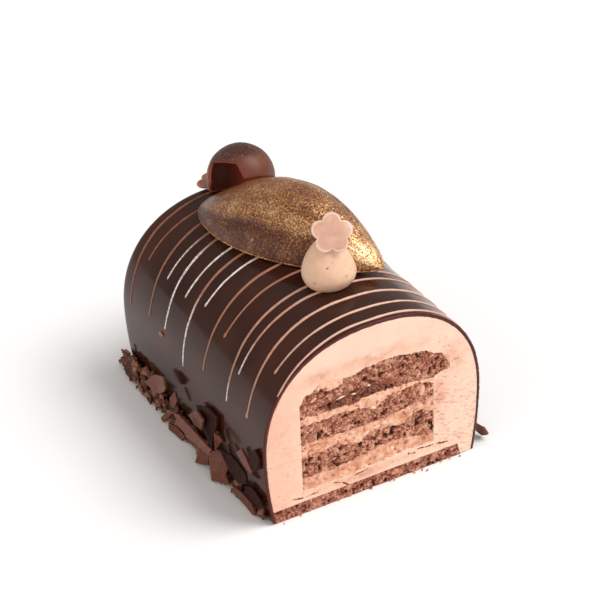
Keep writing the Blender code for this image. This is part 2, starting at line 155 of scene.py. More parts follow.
def add_piece(name, shape, finish, slot, stands_for=(), smooth=True, **values):
    """A mesh piece on the root body. Points are in mm; values are named numbers kept for each point."""
    points, quads, tris = shape
    mesh = bpy.data.meshes.new(name)
    mesh.vertices.add(len(points))
    mesh.vertices.foreach_set("co", (points * MM).ravel())
    mesh.loops.add(quads.size + tris.size)
    mesh.loops.foreach_set("vertex_index", np.concatenate([quads.ravel(), tris.ravel()]).astype(np.int32))
    mesh.polygons.add(len(quads) + len(tris))
    starts = np.concatenate([4 * np.arange(len(quads)), 4 * len(quads) + 3 * np.arange(len(tris))])
    mesh.polygons.foreach_set("loop_start", starts.astype(np.int32))
    mesh.polygons.foreach_set("use_smooth", np.full(len(starts), smooth))
    mesh.update(calc_edges=True)
    mesh.validate()
    for key, numbers in values.items():
        mesh.attributes.new(key, "FLOAT", "POINT").data.foreach_set("value", numbers.astype(np.float32))
    mesh.materials.append(finish)
    piece = bpy.data.objects.new(name, mesh)
    bpy.context.scene.collection.objects.link(piece)
    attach(piece, "root")
    if stands_for:
        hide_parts(*stands_for)
    return piece


def linear(hex_colour):
    """A linear colour with alpha 1 from an sRGB hex value."""
    parts = [int(hex_colour[k:k + 2], 16) / 255 for k in (1, 3, 5)]
    return [p / 12.92 if p <= 0.04045 else ((p + 0.055) / 1.055) ** 2.4 for p in parts] + [1.0]


def add(tree, kind, links=None, stops=None, **settings):
    """Adds one shader node: its settings, its colour stops, and a value or a link for each input."""
    node = tree.nodes.new("ShaderNode" + kind)
    for key, value in settings.items():
        setattr(node, key, value)
    for key, value in (links or {}).items():
        if isinstance(value, bpy.types.NodeSocket):
            tree.links.new(value, node.inputs[key])
        else:
            node.inputs[key].default_value = value
    for k, (place, colour) in enumerate(stops or []):
        element = node.color_ramp.elements[k] if k < 2 else node.color_ramp.elements.new(place)
        element.position, element.color = place, linear(colour)
    return node


def new_finish(name):
    """An empty material's node tree, its output node and its object coordinates in mm."""
    finish = bpy.data.materials.new(name)
    finish.use_nodes = True
    tree = finish.node_tree
    tree.nodes.clear()
    place = add(tree, "TexCoord").outputs["Object"]
    scaled = add(tree, "VectorMath", {0: place, "Scale": 1 / MM}, operation="SCALE").outputs[0]
    return finish, tree, scaled


def close_finish(tree, shader):
    """Links the shader to the material's output."""
    add(tree, "OutputMaterial", {"Surface": shader.outputs[0]})


def crumb_relief(points, seed):
    """Height of torn crumb in mm: pores 1 to 2 mm wide sunk below a lumpy surface."""
    pores = lumps(points, 1.7, seed) + 0.8 * lumps(points, 0.8, seed + 1)
    return 0.34 * lumps(points, 1.0, seed + 2, 3) - 1.1 * ease(pores, 0.2, 0.95)


def crumb_finish(name, dark, middle, light):
    """Baked cocoa sponge: matt crumb, made almost black down in its pores by painted shade and pale on its torn
    tips by painted light.
    """
    finish, tree, place = new_finish(name)
    tone = add(tree, "Attribute", attribute_name="tone").outputs["Fac"]
    grain = add(tree, "TexNoise", {"Vector": place, "Scale": 1 / 0.6, "Detail": 4, "Roughness": 0.7})
    patches = add(tree, "TexNoise", {"Vector": place, "Scale": 1 / 3.0, "Detail": 2})
    mixed = add(tree, "Math", {0: grain.outputs[0], 1: 1.5, 2: tone}, operation="MULTIPLY_ADD").outputs[0]
    mixed = add(tree, "Math", {0: patches.outputs[0], 1: 0.6, 2: mixed}, operation="MULTIPLY_ADD").outputs[0]
    mixed = add(tree, "Math", {0: mixed, 1: 1.05}, operation="SUBTRACT").outputs[0]
    colour = add(tree, "ValToRGB", {"Fac": mixed}, stops=[(0.12, dark), (0.92, light), (0.5, middle)])
    bump = add(tree, "Bump", {"Height": grain.outputs[0], "Strength": 0.6, "Distance": 0.3 * MM})
    close_finish(tree, add(tree, "BsdfPrincipled", {
        "Base Color": colour.outputs[0], "Normal": bump.outputs[0], "Roughness": 0.85, "IOR": 1.45}))
    return finish


sponge_finish = crumb_finish("baked cocoa sponge, torn crumb", "#30110A", "#95533B", "#F2BDA0")
base_finish = crumb_finish("soaked cocoa sponge, torn crumb", "#30110B", "#8F4F3B", "#E8B096")

u, v = np.meshgrid(np.linspace(0, 1, 330), np.linspace(0, 1, 26))
z = BASE_THICK * v
left, right = -(side_x(z) - CORE_INSET), BASE_RIGHT - BASE_SLANT * v
front = np.stack([left + u * (right - left), 0 * u + FRONT, z], -1)
relief = crumb_relief(front.reshape(-1, 3), 11).reshape(u.shape)
front[..., 1] -= relief * np.minimum(1, 6 * np.minimum(v, 1 - v) + 0.4)
front[1:-1, :, 2] += 0.25 * lumps(front[1:-1].reshape(-1, 3), 1.4, 14).reshape(u[1:-1].shape)
shape = block(front, BASE_BACK)
# the tone follows the crumb relief: painted shade in the pores, painted light on the raised tips
add_piece("base_sponge_slab", shape, base_finish, "sponge", ["base_sponge"],
          tone=0.55 + 0.5 * crumb_relief(shape[0] * [1, 0, 1] + [0, FRONT, 0], 11))


# ---- sponge and cream insert ----------------------------------------------------------------
# Three torn sponge sheets with three thin creams between and under them, frozen as a bar and
# laid in the mousse. Each sheet and each cream is one slab that runs back through the log.

INSERT_LEFT, INSERT_RIGHT, TOP_SHEET_RIGHT = -30.0, 25.1, 32.0
INSERT_BACK = BACK - 9.0
LAYER_EDGES = [                         # x, z of the edges between the layers, top to bottom, mm
    [(-30, 47.5), (-27, 51), (-20, 54), (-10, 52.5), (-3, 54), (8, 54.6), (20, 52.5), (28, 49), (32, 44)],
    [(-30, 41.6), (-18, 41.4), (-8, 40.6), (2, 41.6), (12, 41), (24, 39.6), (32, 41)],
    [(-30, 38.4), (-14, 38.5), (-6, 37.2), (0, 35.4), (6, 38.2), (18, 39.3), (26, 37)],
    [(-30, 30.4), (-18, 29.8), (-4, 29.4), (8, 30), (26, 30.8)],
    [(-30, 24.8), (-15, 25), (-8, 22.4), (0, 25), (6, 24.8), (11, 23.6), (19, 27), (26, 24)],
    [(-30, 15.8), (-14, 15.2), (-4, 17), (8, 17.6), (26, 14.6)],
    [(-30, 10.4), (-10, 10), (4, 10.8), (14, 11.4), (26, 11)],
]


def eased(controls, at):
    """Heights between control points, each stretch eased by half a cosine."""
    xs, zs = np.array(controls, float).T
    k = np.clip(np.searchsorted(xs, at, side="right") - 1, 0, len(xs) - 2)
    share = np.clip((at - xs[k]) / (xs[k + 1] - xs[k]), 0, 1)
    return zs[k] + (zs[k + 1] - zs[k]) * (1 - np.cos(math.pi * share)) / 2


def layer_edge(index, x):
    """The eased edge with a torn unevenness of about half a millimetre."""
    line = np.stack([x, 0 * x, 0 * x + 40.0 * index], -1).reshape(-1, 3)
    return eased(LAYER_EDGES[index], x) + 0.7 * lumps(line, 2.0, 21, 3).reshape(x.shape)


def cream_relief(points, seed):
    """Height of cut cream in mm: soft low lumps with a few small pits."""
    return 0.16 * lumps(points, 2.5, seed, 2) - 0.5 * ease(lumps(points, 1.1, seed + 3), 0.45, 0.8)


def cream_finish(name, dark, middle, light):
    """Caramel cream with fruit jelly: smooth, moist and a little translucent, blotched by crumbs, and darker in
    its pits as painted shade.
    """
    finish, tree, place = new_finish(name)
    tone = add(tree, "Attribute", attribute_name="tone").outputs["Fac"]
    blots = add(tree, "TexNoise", {"Vector": place, "Scale": 1 / 2.4, "Detail": 5, "Roughness": 0.65})
    mixed = add(tree, "Math", {0: blots.outputs[0], 1: 1.1, 2: tone}, operation="MULTIPLY_ADD").outputs[0]
    mixed = add(tree, "Math", {0: mixed, 1: 0.55}, operation="SUBTRACT").outputs[0]
    colour = add(tree, "ValToRGB", {"Fac": mixed}, stops=[(0.15, dark), (0.85, light), (0.5, middle)])
    bump = add(tree, "Bump", {"Height": blots.outputs[0], "Strength": 0.35, "Distance": 0.3 * MM})
    close_finish(tree, add(tree, "BsdfPrincipled", {
        "Base Color": colour.outputs[0], "Normal": bump.outputs[0], "Roughness": 0.42, "IOR": 1.45,
        "Subsurface Weight": 0.15, "Subsurface Radius": (0.004, 0.002, 0.001), "Subsurface Scale": 0.3}))
    return finish


cream_finishes = [cream_finish("caramel cream, cut smooth", "#8F4A34", "#D08D6F", "#F5C6A8"),
                  cream_finish("pale caramel cream with jelly, cut smooth", "#945036", "#D79777", "#F8CFB4")]
LAYERS = [                              # node, upper and lower edge, right end, is it sponge
    ("insert_sponge_top", 0, 1, TOP_SHEET_RIGHT, True), ("insert_cream_top", 1, 2, INSERT_RIGHT, False),
    ("insert_sponge_middle", 2, 3, INSERT_RIGHT, True), ("insert_cream_middle", 3, 4, INSERT_RIGHT, False),
    ("insert_sponge_bottom", 4, 5, INSERT_RIGHT, True), ("insert_cream_bottom", 5, 6, INSERT_RIGHT, False),
]
for number, (node, upper, lower, right, is_sponge) in enumerate(LAYERS):
    u, v = np.meshgrid(np.linspace(0, 1, 250), np.linspace(0, 1, 40 if is_sponge else 26))
    x = INSERT_LEFT + u * (right - INSERT_LEFT)
    low, high = layer_edge(lower, x), layer_edge(upper, x)
    front = np.stack([x, 0 * x + FRONT, low + v * (high - low)], -1)
    raised = crumb_relief if is_sponge else cream_relief
    front[..., 1] -= raised(front.reshape(-1, 3), 30 + 5 * number).reshape(x.shape)
    shape = block(front, INSERT_BACK)
    flat = shape[0] * [1, 0, 1] + [0, FRONT, 0]
    # the tone follows the relief: painted shade in the sponge's pores and the cream's pits, painted light on
    # the sponge's raised tips
    tone = 0.55 + 0.5 * raised(flat, 30 + 5 * number) + 0.14 * (node == "insert_cream_top")
    if node == "insert_sponge_top":     # a pale notch of mousse, and jelly soaked into the lower left
        notch = ((flat[:, 0] + 17.5) / 5.5) ** 2 + ((flat[:, 2] - 52.2) / 2.6) ** 2
        soaked = ((flat[:, 0] + 6) / 20) ** 2 + ((flat[:, 2] - 43.5) / 3.6) ** 2
        tone += 0.6 * ease(-notch, -1.2, -0.4) - 0.22 * ease(-soaked, -1.1, -0.3)
    add_piece(node + "_slab", shape, sponge_finish if is_sponge else cream_finishes[number > 2],
              "sponge" if is_sponge else "insert_cream", [node], tone=tone)


# ---- milk chocolate mousse ------------------------------------------------------------------
# The body of the log: aerated mousse poured round the insert in an arch mould and frozen. A wet
# knife cut its face, which shows fine drawn pores and, low down, a few open cracks.

RISE, POWER, CREST = 43.1, 2.29, 71.6   # the arch above the spring height; power 2 is an ellipse
MOUSSE_FLOOR = BASE_THICK + 0.1
FACE_AROUND, FACE_RINGS = 980, 64


def arch_line(inset, bottom, count=720):
    """x, z along the arch from the left foot over the crest to the right foot.

    The sides follow side_x up to the spring height; above it x = half width times cos^p and
    z = spring + rise times sin^p with p = 2 / power. An inset draws the whole line in by the same
    share everywhere.
    """
    up = np.linspace(bottom, SPRING, count // 4, endpoint=False)
    turn = np.linspace(0, math.pi, count)
    over = -HALF_WIDTH * np.sign(np.cos(turn)) * np.abs(np.cos(turn)) ** (2 / POWER)
    x = np.concatenate([-side_x(up), over, side_x(up[::-1])])
    z = np.concatenate([up, SPRING + RISE * np.sin(turn) ** (2 / POWER), up[::-1]])
    lower = (CREST - inset - bottom) / (CREST - bottom)
    return np.stack([x * (HALF_WIDTH - inset) / HALF_WIDTH, bottom + (z - bottom) * lower], -1)


def evenly(line, count, closed=False):
    """The line's points again at even distances along it."""
    line = np.concatenate([line, line[:1]]) if closed else line
    run = np.concatenate([[0], np.cumsum(np.linalg.norm(np.diff(line, axis=0), axis=1))])
    at = np.linspace(0, run[-1], count, endpoint=not closed)
    return np.stack([np.interp(at, run, line[:, k]) for k in range(line.shape[1])], -1)


def near_line(points, a, b):
    """Distance in the cut face from each point to the straight stretch between a and b."""
    a, b, flat = np.array(a), np.array(b), points[:, [0, 2]]
    share = np.clip((flat - a) @ (b - a) / ((b - a) @ (b - a)), 0, 1)
    return np.linalg.norm(flat - a - share[:, None] * (b - a), axis=1)


CRACKS = [                              # x, z of both ends of each crack, mm
    ((-34, 7.8), (-30, 7.0)), ((-28.5, 7.1), (-24, 7.3)), ((-17, 8.6), (-14.5, 7.6)),
    ((-13.8, 7.4), (-11, 5.0)), ((14.5, 9.0), (17, 8.3)), ((18.5, 9.6), (24.5, 9.0)),
    ((26, 8.6), (31, 8.0)), ((-8, 8.6), (-3, 9.2)),
]
SMEARS = [                              # x, z of the middle, reach along and up, mm
    ((3, 57.5), 20, 3.5), ((33, 45), 5, 6), ((27.5, 30), 3.0, 14), ((-2, 8), 22, 2.0), ((-22, 56), 6, 3.0),
]


def cracks(points):
    """1 inside the open cracks, falling to 0 within a third of a millimetre of them."""
    near = np.min([near_line(points, a, b) for a, b in CRACKS], axis=0)
    return 1 - ease(near + 0.3 * lumps(points, 0.9, 62, 2), 0.02, 0.36)


def mousse_relief(points):
    """Height of the cut mousse in mm: pores drawn out sideways by the knife, and the cracks.

    A pore opens where the drawn-out chance value passes a threshold, which is lowest at the right
    and low down, where the real pores are many, and highest near the crest.
    """
    drawn = lumps(points / [2.6, 1, 1], 0.52, 60) + 0.5 * lumps(points / [2.0, 1, 1], 0.34, 61)
    few = (0.45 - 0.38 * ease(points[:, 0], 8, 30) - 0.12 * ease(-points[:, 2], -42, -20)
           + 0.2 * ease(points[:, 2], 48, 60))
    return 0.07 * lumps(points, 2.2, 63, 3) - 0.34 * ease(drawn, few + 0.2, few + 0.7) - 0.9 * cracks(points)


def mousse_tone(points):
    """How far the mousse is browned, from 0 to 1: by smears from the insert, and by painted shade in pores and
    cracks.

    It is also a little browner to the left and paler near the crest, partly from knife smear and partly as
    painted shade and painted light.
    """
    x, z = points[:, 0], points[:, 2]
    smeared = sum(np.exp(-((x - at[0]) / wide) ** 2 - ((z - at[1]) / tall) ** 2) for at, wide, tall in SMEARS)
    # browner to the left and paler near the crest: partly knife smear, partly painted shade and painted light;
    # the cracks and pores below are darkened as painted shade
    place = 0.13 * (1 - ease(x, -44, -22)) + 0.05 * (1 - ease(x, -20, 20)) - 0.12 * ease(z, 50, 66)
    open_cracks = cracks(points)
    return np.clip(place + smeared * (0.24 + 0.16 * lumps(points, 3.2, 64, 3)) + 0.9 * open_cracks
                   - 0.45 * mousse_relief(points) * (1 - open_cracks), 0, 1)


def mousse_finish():
    """Frozen-set milk chocolate mousse: matt, pale peach, slightly translucent, with tiny bubbles."""
    finish, tree, place = new_finish("aerated milk chocolate mousse, knife cut")
    tone = add(tree, "Attribute", attribute_name="tone").outputs["Fac"]
    strokes = add(tree, "Mapping", {"Vector": place, "Scale": (0.35, 1, 1)}).outputs[0]
    bubbles = add(tree, "TexNoise", {"Vector": strokes, "Scale": 1 / 0.45, "Detail": 3, "Roughness": 0.6})
    clouds = add(tree, "TexNoise", {"Vector": place, "Scale": 1 / 9.0, "Detail": 3})
    mixed = add(tree, "Math", {0: clouds.outputs[0], 1: 0.22, 2: tone}, operation="MULTIPLY_ADD").outputs[0]
    mixed = add(tree, "Math", {0: bubbles.outputs[0], 1: 0.12, 2: mixed}, operation="MULTIPLY_ADD").outputs[0]
    colour = add(tree, "ValToRGB", {"Fac": mixed}, stops=[
        (0.05, "#FBDAC6"), (1.0, "#7B3D26"), (0.3, "#F0C2AA"), (0.6, "#CB8C6C")])
    bump = add(tree, "Bump", {"Height": bubbles.outputs[0], "Strength": 0.5, "Distance": 0.25 * MM})
    close_finish(tree, add(tree, "BsdfPrincipled", {
        "Base Color": colour.outputs[0], "Normal": bump.outputs[0], "Roughness": 0.6, "IOR": 1.42,
        "Subsurface Weight": 0.25, "Subsurface Radius": (0.004, 0.0025, 0.0015), "Subsurface Scale": 0.4}))
    return finish


arch = arch_line(CORE_INSET, 0.0)
arch = arch[(arch[:, 1] > MOUSSE_FLOOR) | (arch[:, 0] > 0)]
foot = np.array([[BASE_RIGHT + 0.1, 0.0], [BASE_RIGHT + 0.1 - BASE_SLANT, MOUSSE_FLOOR]])
outer = evenly(np.concatenate([arch, foot]), FACE_AROUND, closed=True)
x_top = np.linspace(INSERT_LEFT, TOP_SHEET_RIGHT, 500)
x_low = np.linspace(INSERT_RIGHT, INSERT_LEFT, 500)
x_lip = np.linspace(TOP_SHEET_RIGHT, INSERT_RIGHT, 60)
pocket = evenly(np.concatenate([
    np.stack([x_top, layer_edge(0, x_top)], -1), np.stack([x_lip, layer_edge(1, x_lip)], -1),
    np.stack([x_low, layer_edge(6, x_low)], -1)]), 6000, closed=True)
eye = np.array([0.0, 41.2])             # a point that sees the whole pocket's edge
turn = np.arctan2(*(pocket - eye).T[::-1])
order = np.argsort(turn)
reach = np.linalg.norm(pocket - eye, axis=1)[order]
facing = np.unwrap(np.arctan2(*(outer - eye).T[::-1]))
facing = np.minimum.accumulate(facing) - 1e-6 * np.arange(FACE_AROUND)
wrapped = (facing + math.pi) % (2 * math.pi) - math.pi
inner = eye + np.interp(wrapped, turn[order], reach, period=2 * math.pi)[:, None] * np.stack(
    [np.cos(wrapped), np.sin(wrapped)], -1)
# each line from the pocket to the outline is a quadratic curve, bent round the base sponge's end
BASE_END, DETOUR = np.array([38.0, 2.0]), np.array([40.5, 9.5])
bend = 1 - ease(np.linalg.norm(outer - BASE_END, axis=1), 4, 9)[:, None]
middle = (inner + outer) / 2 * (1 - bend) + DETOUR * bend
s = np.linspace(0, 1, FACE_RINGS)[:, None, None]
face = inner * (1 - s) ** 2 + 2 * middle * s * (1 - s) + outer * s ** 2
face = np.stack([face[..., 0], 0 * face[..., 0] + FRONT, face[..., 1]], -1)
relief = mousse_relief(face.reshape(-1, 3)).reshape(face.shape[:2])
relief[-1] = 0
face[..., 1] -= relief
tail = []
for depth, inset in [(4.0, 0), (1.0, 0.6), (CORE_INSET, 2.4)]:
    shrink = np.array([(HALF_WIDTH - inset) / HALF_WIDTH, 1, (CREST - inset) / CREST])
    tail.append(np.stack([outer[:, 0], 0 * outer[:, 0] + BACK - depth, outer[:, 1]], -1) * shrink)
pocket_wall = np.stack([inner[:, 0], 0 * inner[:, 0] + INSERT_BACK + 0.2, inner[:, 1]], -1)
shape = skin(np.concatenate([pocket_wall[None], face, np.array(tail)]))
add_piece("mousse_body", shape, mousse_finish(), "mousse", ["mousse"],
          tone=mousse_tone(shape[0] * [1, 0, 1] + [0, FRONT, 0]))


# ---- fruit jelly in the cut face ------------------------------------------------------------
# Small pieces of clear jelly and soft fruit that the knife left standing in the creams. They are
# moist and catch the light.

JELLY = [                               # x, z, half width, half height, turn in degrees, paleness (on the palest bits partly a painted highlight)
    (-1.8, 38.2, 2.6, 2.1, 25, 0.35), (-0.3, 35.6, 1.7, 0.8, -20, 1.0), (-1.4, 40.6, 1.3, 0.5, 10, 0.9),
    (16.6, 35.0, 1.3, 1.9, 15, 0.0), (20.2, 35.4, 1.5, 2.9, -10, 0.45), (-8.2, 24.0, 1.2, 0.6, 10, 0.9),
    (-6.0, 23.5, 1.3, 0.7, 30, 0.8), (-3.4, 25.6, 1.8, 0.9, 20, 0.7), (0.8, 26.8, 1.9, 0.7, 5, 1.0),
    (4.2, 27.2, 1.6, 0.9, -15, 0.9), (6.8, 26.6, 1.3, 0.9, -40, 1.0), (8.6, 24.8, 1.1, 0.6, -30, 0.8),
    (15.2, 26.9, 1.2, 0.8, 30, 0.6), (-3.7, 10.9, 1.1, 0.8, 0, 1.0), (4.6, 10.8, 1.0, 0.7, 10, 1.0),
    (7.0, 14.6, 1.0, 1.0, 0, 0.8), (8.4, 3.2, 2.2, 1.5, 10, 0.1), (-13.5, 45.1, 2.6, 0.5, 8, 0.9),
    (-8.0, 44.6, 1.4, 0.5, -10, 0.7), (-24.5, 48.0, 1.8, 0.7, 20, 0.3), (-2.0, 46.0, 1.0, 0.5, 0, 0.6),
]
JELLY_SHARE = 0.82                      # how much of its bed in the cream each bit fills


def lump_of_jelly(x, z, wide, tall, turn, seed, rows=9, around=16):
    """A ball drawn out to the given half sizes, flattened front to back, with a wavy surface."""
    polar, angle = np.meshgrid(np.linspace(0, math.pi, rows + 2)[1:-1],
                               np.linspace(0, 2 * math.pi, around, endpoint=False), indexing="ij")
    ball = np.stack([np.sin(polar) * np.cos(angle), np.cos(polar), np.sin(polar) * np.sin(angle)], -1)
    ball *= 1 + 0.22 * lumps(ball.reshape(-1, 3) + 3.1 * seed, 0.8, seed).reshape(rows, around, 1)
    wide, tall = JELLY_SHARE * wide, JELLY_SHARE * tall
    ball = ball * [wide, 0.45 * min(wide, tall) + 0.25, tall]
    c, s = math.cos(math.radians(turn)), math.sin(math.radians(turn))
    ball = ball @ np.array([[c, 0, s], [0, 1, 0], [-s, 0, c]])
    return skin(ball + [x, FRONT + 0.12, z])


def jelly_finish():
    """Fruit jelly and syrup: clear to pale peach, wet and smooth; on the palest bits the pale colour is partly
    a painted highlight.
    """
    finish, tree, place = new_finish("fruit jelly, wet")
    tone = add(tree, "Attribute", attribute_name="tone").outputs["Fac"]
    cloud = add(tree, "TexNoise", {"Vector": place, "Scale": 1 / 0.9, "Detail": 2})
    mixed = add(tree, "Math", {0: cloud.outputs[0], 1: 0.5, 2: tone}, operation="MULTIPLY_ADD").outputs[0]
    colour = add(tree, "ValToRGB", {"Fac": mixed}, stops=[
        (0.2, "#A9633F"), (1.0, "#EBC4AC"), (0.5, "#D49A78")])
    bump = add(tree, "Bump", {"Height": cloud.outputs[0], "Strength": 0.3, "Distance": 0.3 * MM})
    close_finish(tree, add(tree, "BsdfPrincipled", {
        "Base Color": colour.outputs[0], "Normal": bump.outputs[0], "Roughness": 0.12, "IOR": 1.4,
        "Coat Weight": 0.5, "Coat Roughness": 0.05, "Subsurface Weight": 0.3, "Subsurface Scale": 0.5,
        "Subsurface Radius": (0.003, 0.002, 0.001)}))
    return finish


bits = [lump_of_jelly(*bit[:5], 70 + k) for k, bit in enumerate(JELLY)]
# paleness: the jelly's own colour, and on the palest bits partly a painted highlight
add_piece("fruit_jelly", joined(bits), jelly_finish(), "insert_cream",
          tone=np.repeat([bit[5] for bit in JELLY], [len(b[0]) for b in bits]))


# ---- mirror glaze ---------------------------------------------------------------------------
# A skin of dark mirror glaze a millimetre thick, poured over the frozen log and its far end
# before it was cut, so that the cut shows its edge as a thin dark line.

GLAZE_THICK, GLAZE_HEM, END_ROUND = 1.1, 0.4, 3.5


def glaze_sheet(inset, around=420):
    """Rows of arch lines from the cut face to the far end, rounded over it and drawn in to its foot.

    The rounding takes y back by 3.5 (1 - sin) and the line in by 3.5 (1 - cos); on the flat end the
    line shrinks towards the middle of its foot.
    """
    rows = []
    for y in np.concatenate([[FRONT], np.linspace(FRONT + 0.5, BACK - END_ROUND, 56)]):
        line = evenly(arch_line(inset, GLAZE_HEM), around)
        rows.append(np.insert(line, 1, y, axis=1))
    for turn in np.linspace(0, math.pi / 2, 8)[1:]:
        line = evenly(arch_line(inset + (END_ROUND - inset) * (1 - math.cos(turn)), GLAZE_HEM), around)
        rows.append(np.insert(line, 1, BACK - END_ROUND + (END_ROUND - inset) * math.sin(turn), axis=1))
    end_line = rows[-1]
    for share in np.linspace(1, 0, 14)[1:]:
        rows.append(end_line * [share, 1, share] + [0, 0, GLAZE_HEM * (1 - share)])
    rows[-1] = rows[-1] + np.array([1e-3, 0, 0]) * np.linspace(-1, 1, around)[:, None]
    return np.array(rows)


def sheet_shell(outer_sheet, inner_sheet):
    """A closed shell between two like grids, joined along their whole border."""
    rows, columns = outer_sheet.shape[:2]
    index = np.arange(rows * columns).reshape(rows, columns)
    border = np.concatenate([index[0, :-1], index[:-1, -1], index[-1, :0:-1], index[:0:-1, 0]])
    quads = grid_quads(rows, columns, False)
    start = rows * columns
    after = np.roll(border, -1)
    rim = np.stack([after, border, start + border, start + after], -1)
    return outward(np.concatenate([outer_sheet.reshape(-1, 3), inner_sheet.reshape(-1, 3)]),
                   np.concatenate([quads, quads[:, ::-1] + start, rim]), np.zeros((0, 3), int))


def glaze_finish():
    """Set cocoa mirror glaze: gelatine gel, nearly black brown, mirror-smooth with faint dull clouds."""
    finish, tree, place = new_finish("cocoa mirror glaze, poured")
    sweep = add(tree, "TexNoise", {"Vector": place, "Scale": 1 / 26.0, "Detail": 2, "Roughness": 0.5})
    film = add(tree, "TexNoise", {"Vector": place, "Scale": 1 / 0.8, "Detail": 2})
    dull = add(tree, "MapRange", {"Value": sweep.outputs[0], 1: 0.35, 2: 0.7, 3: 0.1, 4: 0.2})
    colour = add(tree, "ValToRGB", {"Fac": sweep.outputs[0]}, stops=[(0.3, "#2F160F"), (0.7, "#442318")])
    cut = add(tree, "Attribute", attribute_name="cut").outputs["Fac"]
    shown = add(tree, "Mix", {0: cut, 6: colour.outputs[0], 7: linear("#54211F")}, data_type="RGBA")
    bump = add(tree, "Bump", {"Height": film.outputs[0], "Strength": 0.05, "Distance": 0.1 * MM})
    close_finish(tree, add(tree, "BsdfPrincipled", {
        "Base Color": shown.outputs[2], "Roughness": dull.outputs[0], "Normal": bump.outputs[0],
        "IOR": 1.28}))
    return finish


outer_sheet, inner_sheet = glaze_sheet(0.0), glaze_sheet(GLAZE_THICK)
for sheet in (outer_sheet, inner_sheet):
    edge = sheet[0] * [1, 0, 1]
    sheet[0, :, 1] += 0.14 * lumps(edge, 1.5, 80, 2)
    sheet[0] += 0.10 * lumps(edge, 1.1, 81)[:, None] * [0.6, 0, 0.8]
shape = sheet_shell(outer_sheet, inner_sheet)
add_piece("glaze_skin", shape, glaze_finish(), "mirror_glaze", ["glaze"],
          cut=1 - ease(shape[0][:, 1], FRONT + 0.2, FRONT + 0.6))


# ---- piped chocolate lines ------------------------------------------------------------------
# Fine lines of melted milk chocolate piped across the glaze, long and short by turns. Each is a
# low bead that thins towards its end; some ends stopped in a small blob, and some set shiny, which a painted
# highlight shows.

ARC_LENGTH = 199.3                      # from foot to foot over the crest, mm
# y on the crest and at the left end, counted from the cut face; where the line ends along the arch;
# blob, paleness, and where the painted highlight starts and stops along the arch (mm, shares from 0 to 1)
LINES = [
    (112.4, 108.8, 35, 0, 0.0, 0, 0), (104.9, 104.3, 57, 0, 0.0, 0, 0), (97.1, 92.4, 39, 0.5, 0.1, 0, 0),
    (89.3, 88.2, 57, 0, 0.3, 57, 75), (83.6, 79.1, 40, 0.3, 0.35, 40, 76), (74.3, 72.8, 57, 0, 0.6, 57, 90),
    (67.8, 63.1, 33, 0, 0.3, 33, 60), (61.4, 60.0, 60, 0.2, 0.7, 60, 92), (51.8, 47.1, 40, 0.3, 0.3, 0, 0),
    (43.4, 41.4, 57, 0.5, 0.35, 0, 0), (33.3, 28.4, 38, 0, 0.6, 38, 46), (27.4, 24.8, 51, 0.2, 0.6, 51, 62),
    (18.3, 13.1, 40, 1.0, 0.7, 0, 0), (9.6, 7.9, 61, 0.3, 0.85, 0, 0), (2.4, 0.5, 56, 0, 1.0, 0, 0),
]
arch_run = arch_line(0.0, 0.0, 2000)
run = np.concatenate([[0], np.cumsum(np.linalg.norm(np.diff(arch_run, axis=0), axis=1))])
run *= ARC_LENGTH / run[-1]


def on_arch(s):
    """x, z and the outward normal at distance s along the arch from its left foot."""
    x, z = np.interp(s, run, arch_run[:, 0]), np.interp(s, run, arch_run[:, 1])
    dx = np.interp(s + 0.4, run, arch_run[:, 0]) - np.interp(s - 0.4, run, arch_run[:, 0])
    dz = np.interp(s + 0.4, run, arch_run[:, 1]) - np.interp(s - 0.4, run, arch_run[:, 1])
    length = np.hypot(dx, dz)
    return x, z, -dz / length, dx / length


def piped_line(top, end, left, blob, seed, around=14, count=230):
    """A bead swept along the arch: a half ellipse above the glaze and a shallow one sunk in it.

    Its y eases from the left end to the crest and keeps there; its half width grows from 0.35 to
    0.6 mm away from the left end, with a rounded tip and sometimes a blob.
    """
    right = ARC_LENGTH - left - 6 + 9 * math.sin(2.3 * seed)
    s = left + (right - left) * (1 - np.cos(np.linspace(0, math.pi, count))) / 2
    lean = (1 - ease(s, left, 96)) * (1 - 0.25 * ease(s, left, 80))
    line = np.stack([s, 0 * s, 0 * s], -1)
    y = top + (end - top) * lean + FRONT + 0.18 * lumps(line, 11, seed, 2)
    from_end = np.minimum(s - left, right - s)
    tip = np.sqrt(np.clip(1 - (1 - np.clip(from_end / 0.9, 0, 1)) ** 2, 0.0004, 1))
    half = (0.36 + 0.22 * ease(from_end, 0, 42)) * (1 + 0.14 * lumps(line, 2.6, seed + 1, 2))
    half = half * tip + blob * 0.45 * np.exp(-((s - left - 1.1) / 0.9) ** 2) * tip
    x, z, nx, nz = on_arch(s)
    turn = np.linspace(0, 2 * math.pi, around, endpoint=False)
    up = np.where(np.sin(turn) > 0, 0.85 * np.sin(turn), 0.2 * np.sin(turn)) * half[:, None]
    side = half[:, None] * np.cos(turn)
    return skin(np.stack([x[:, None] + nx[:, None] * up, np.clip(y[:, None] + side, FRONT - 0.05, None),
                          z[:, None] + nz[:, None] * up], -1)), np.append(np.repeat(s, around), [left, right])


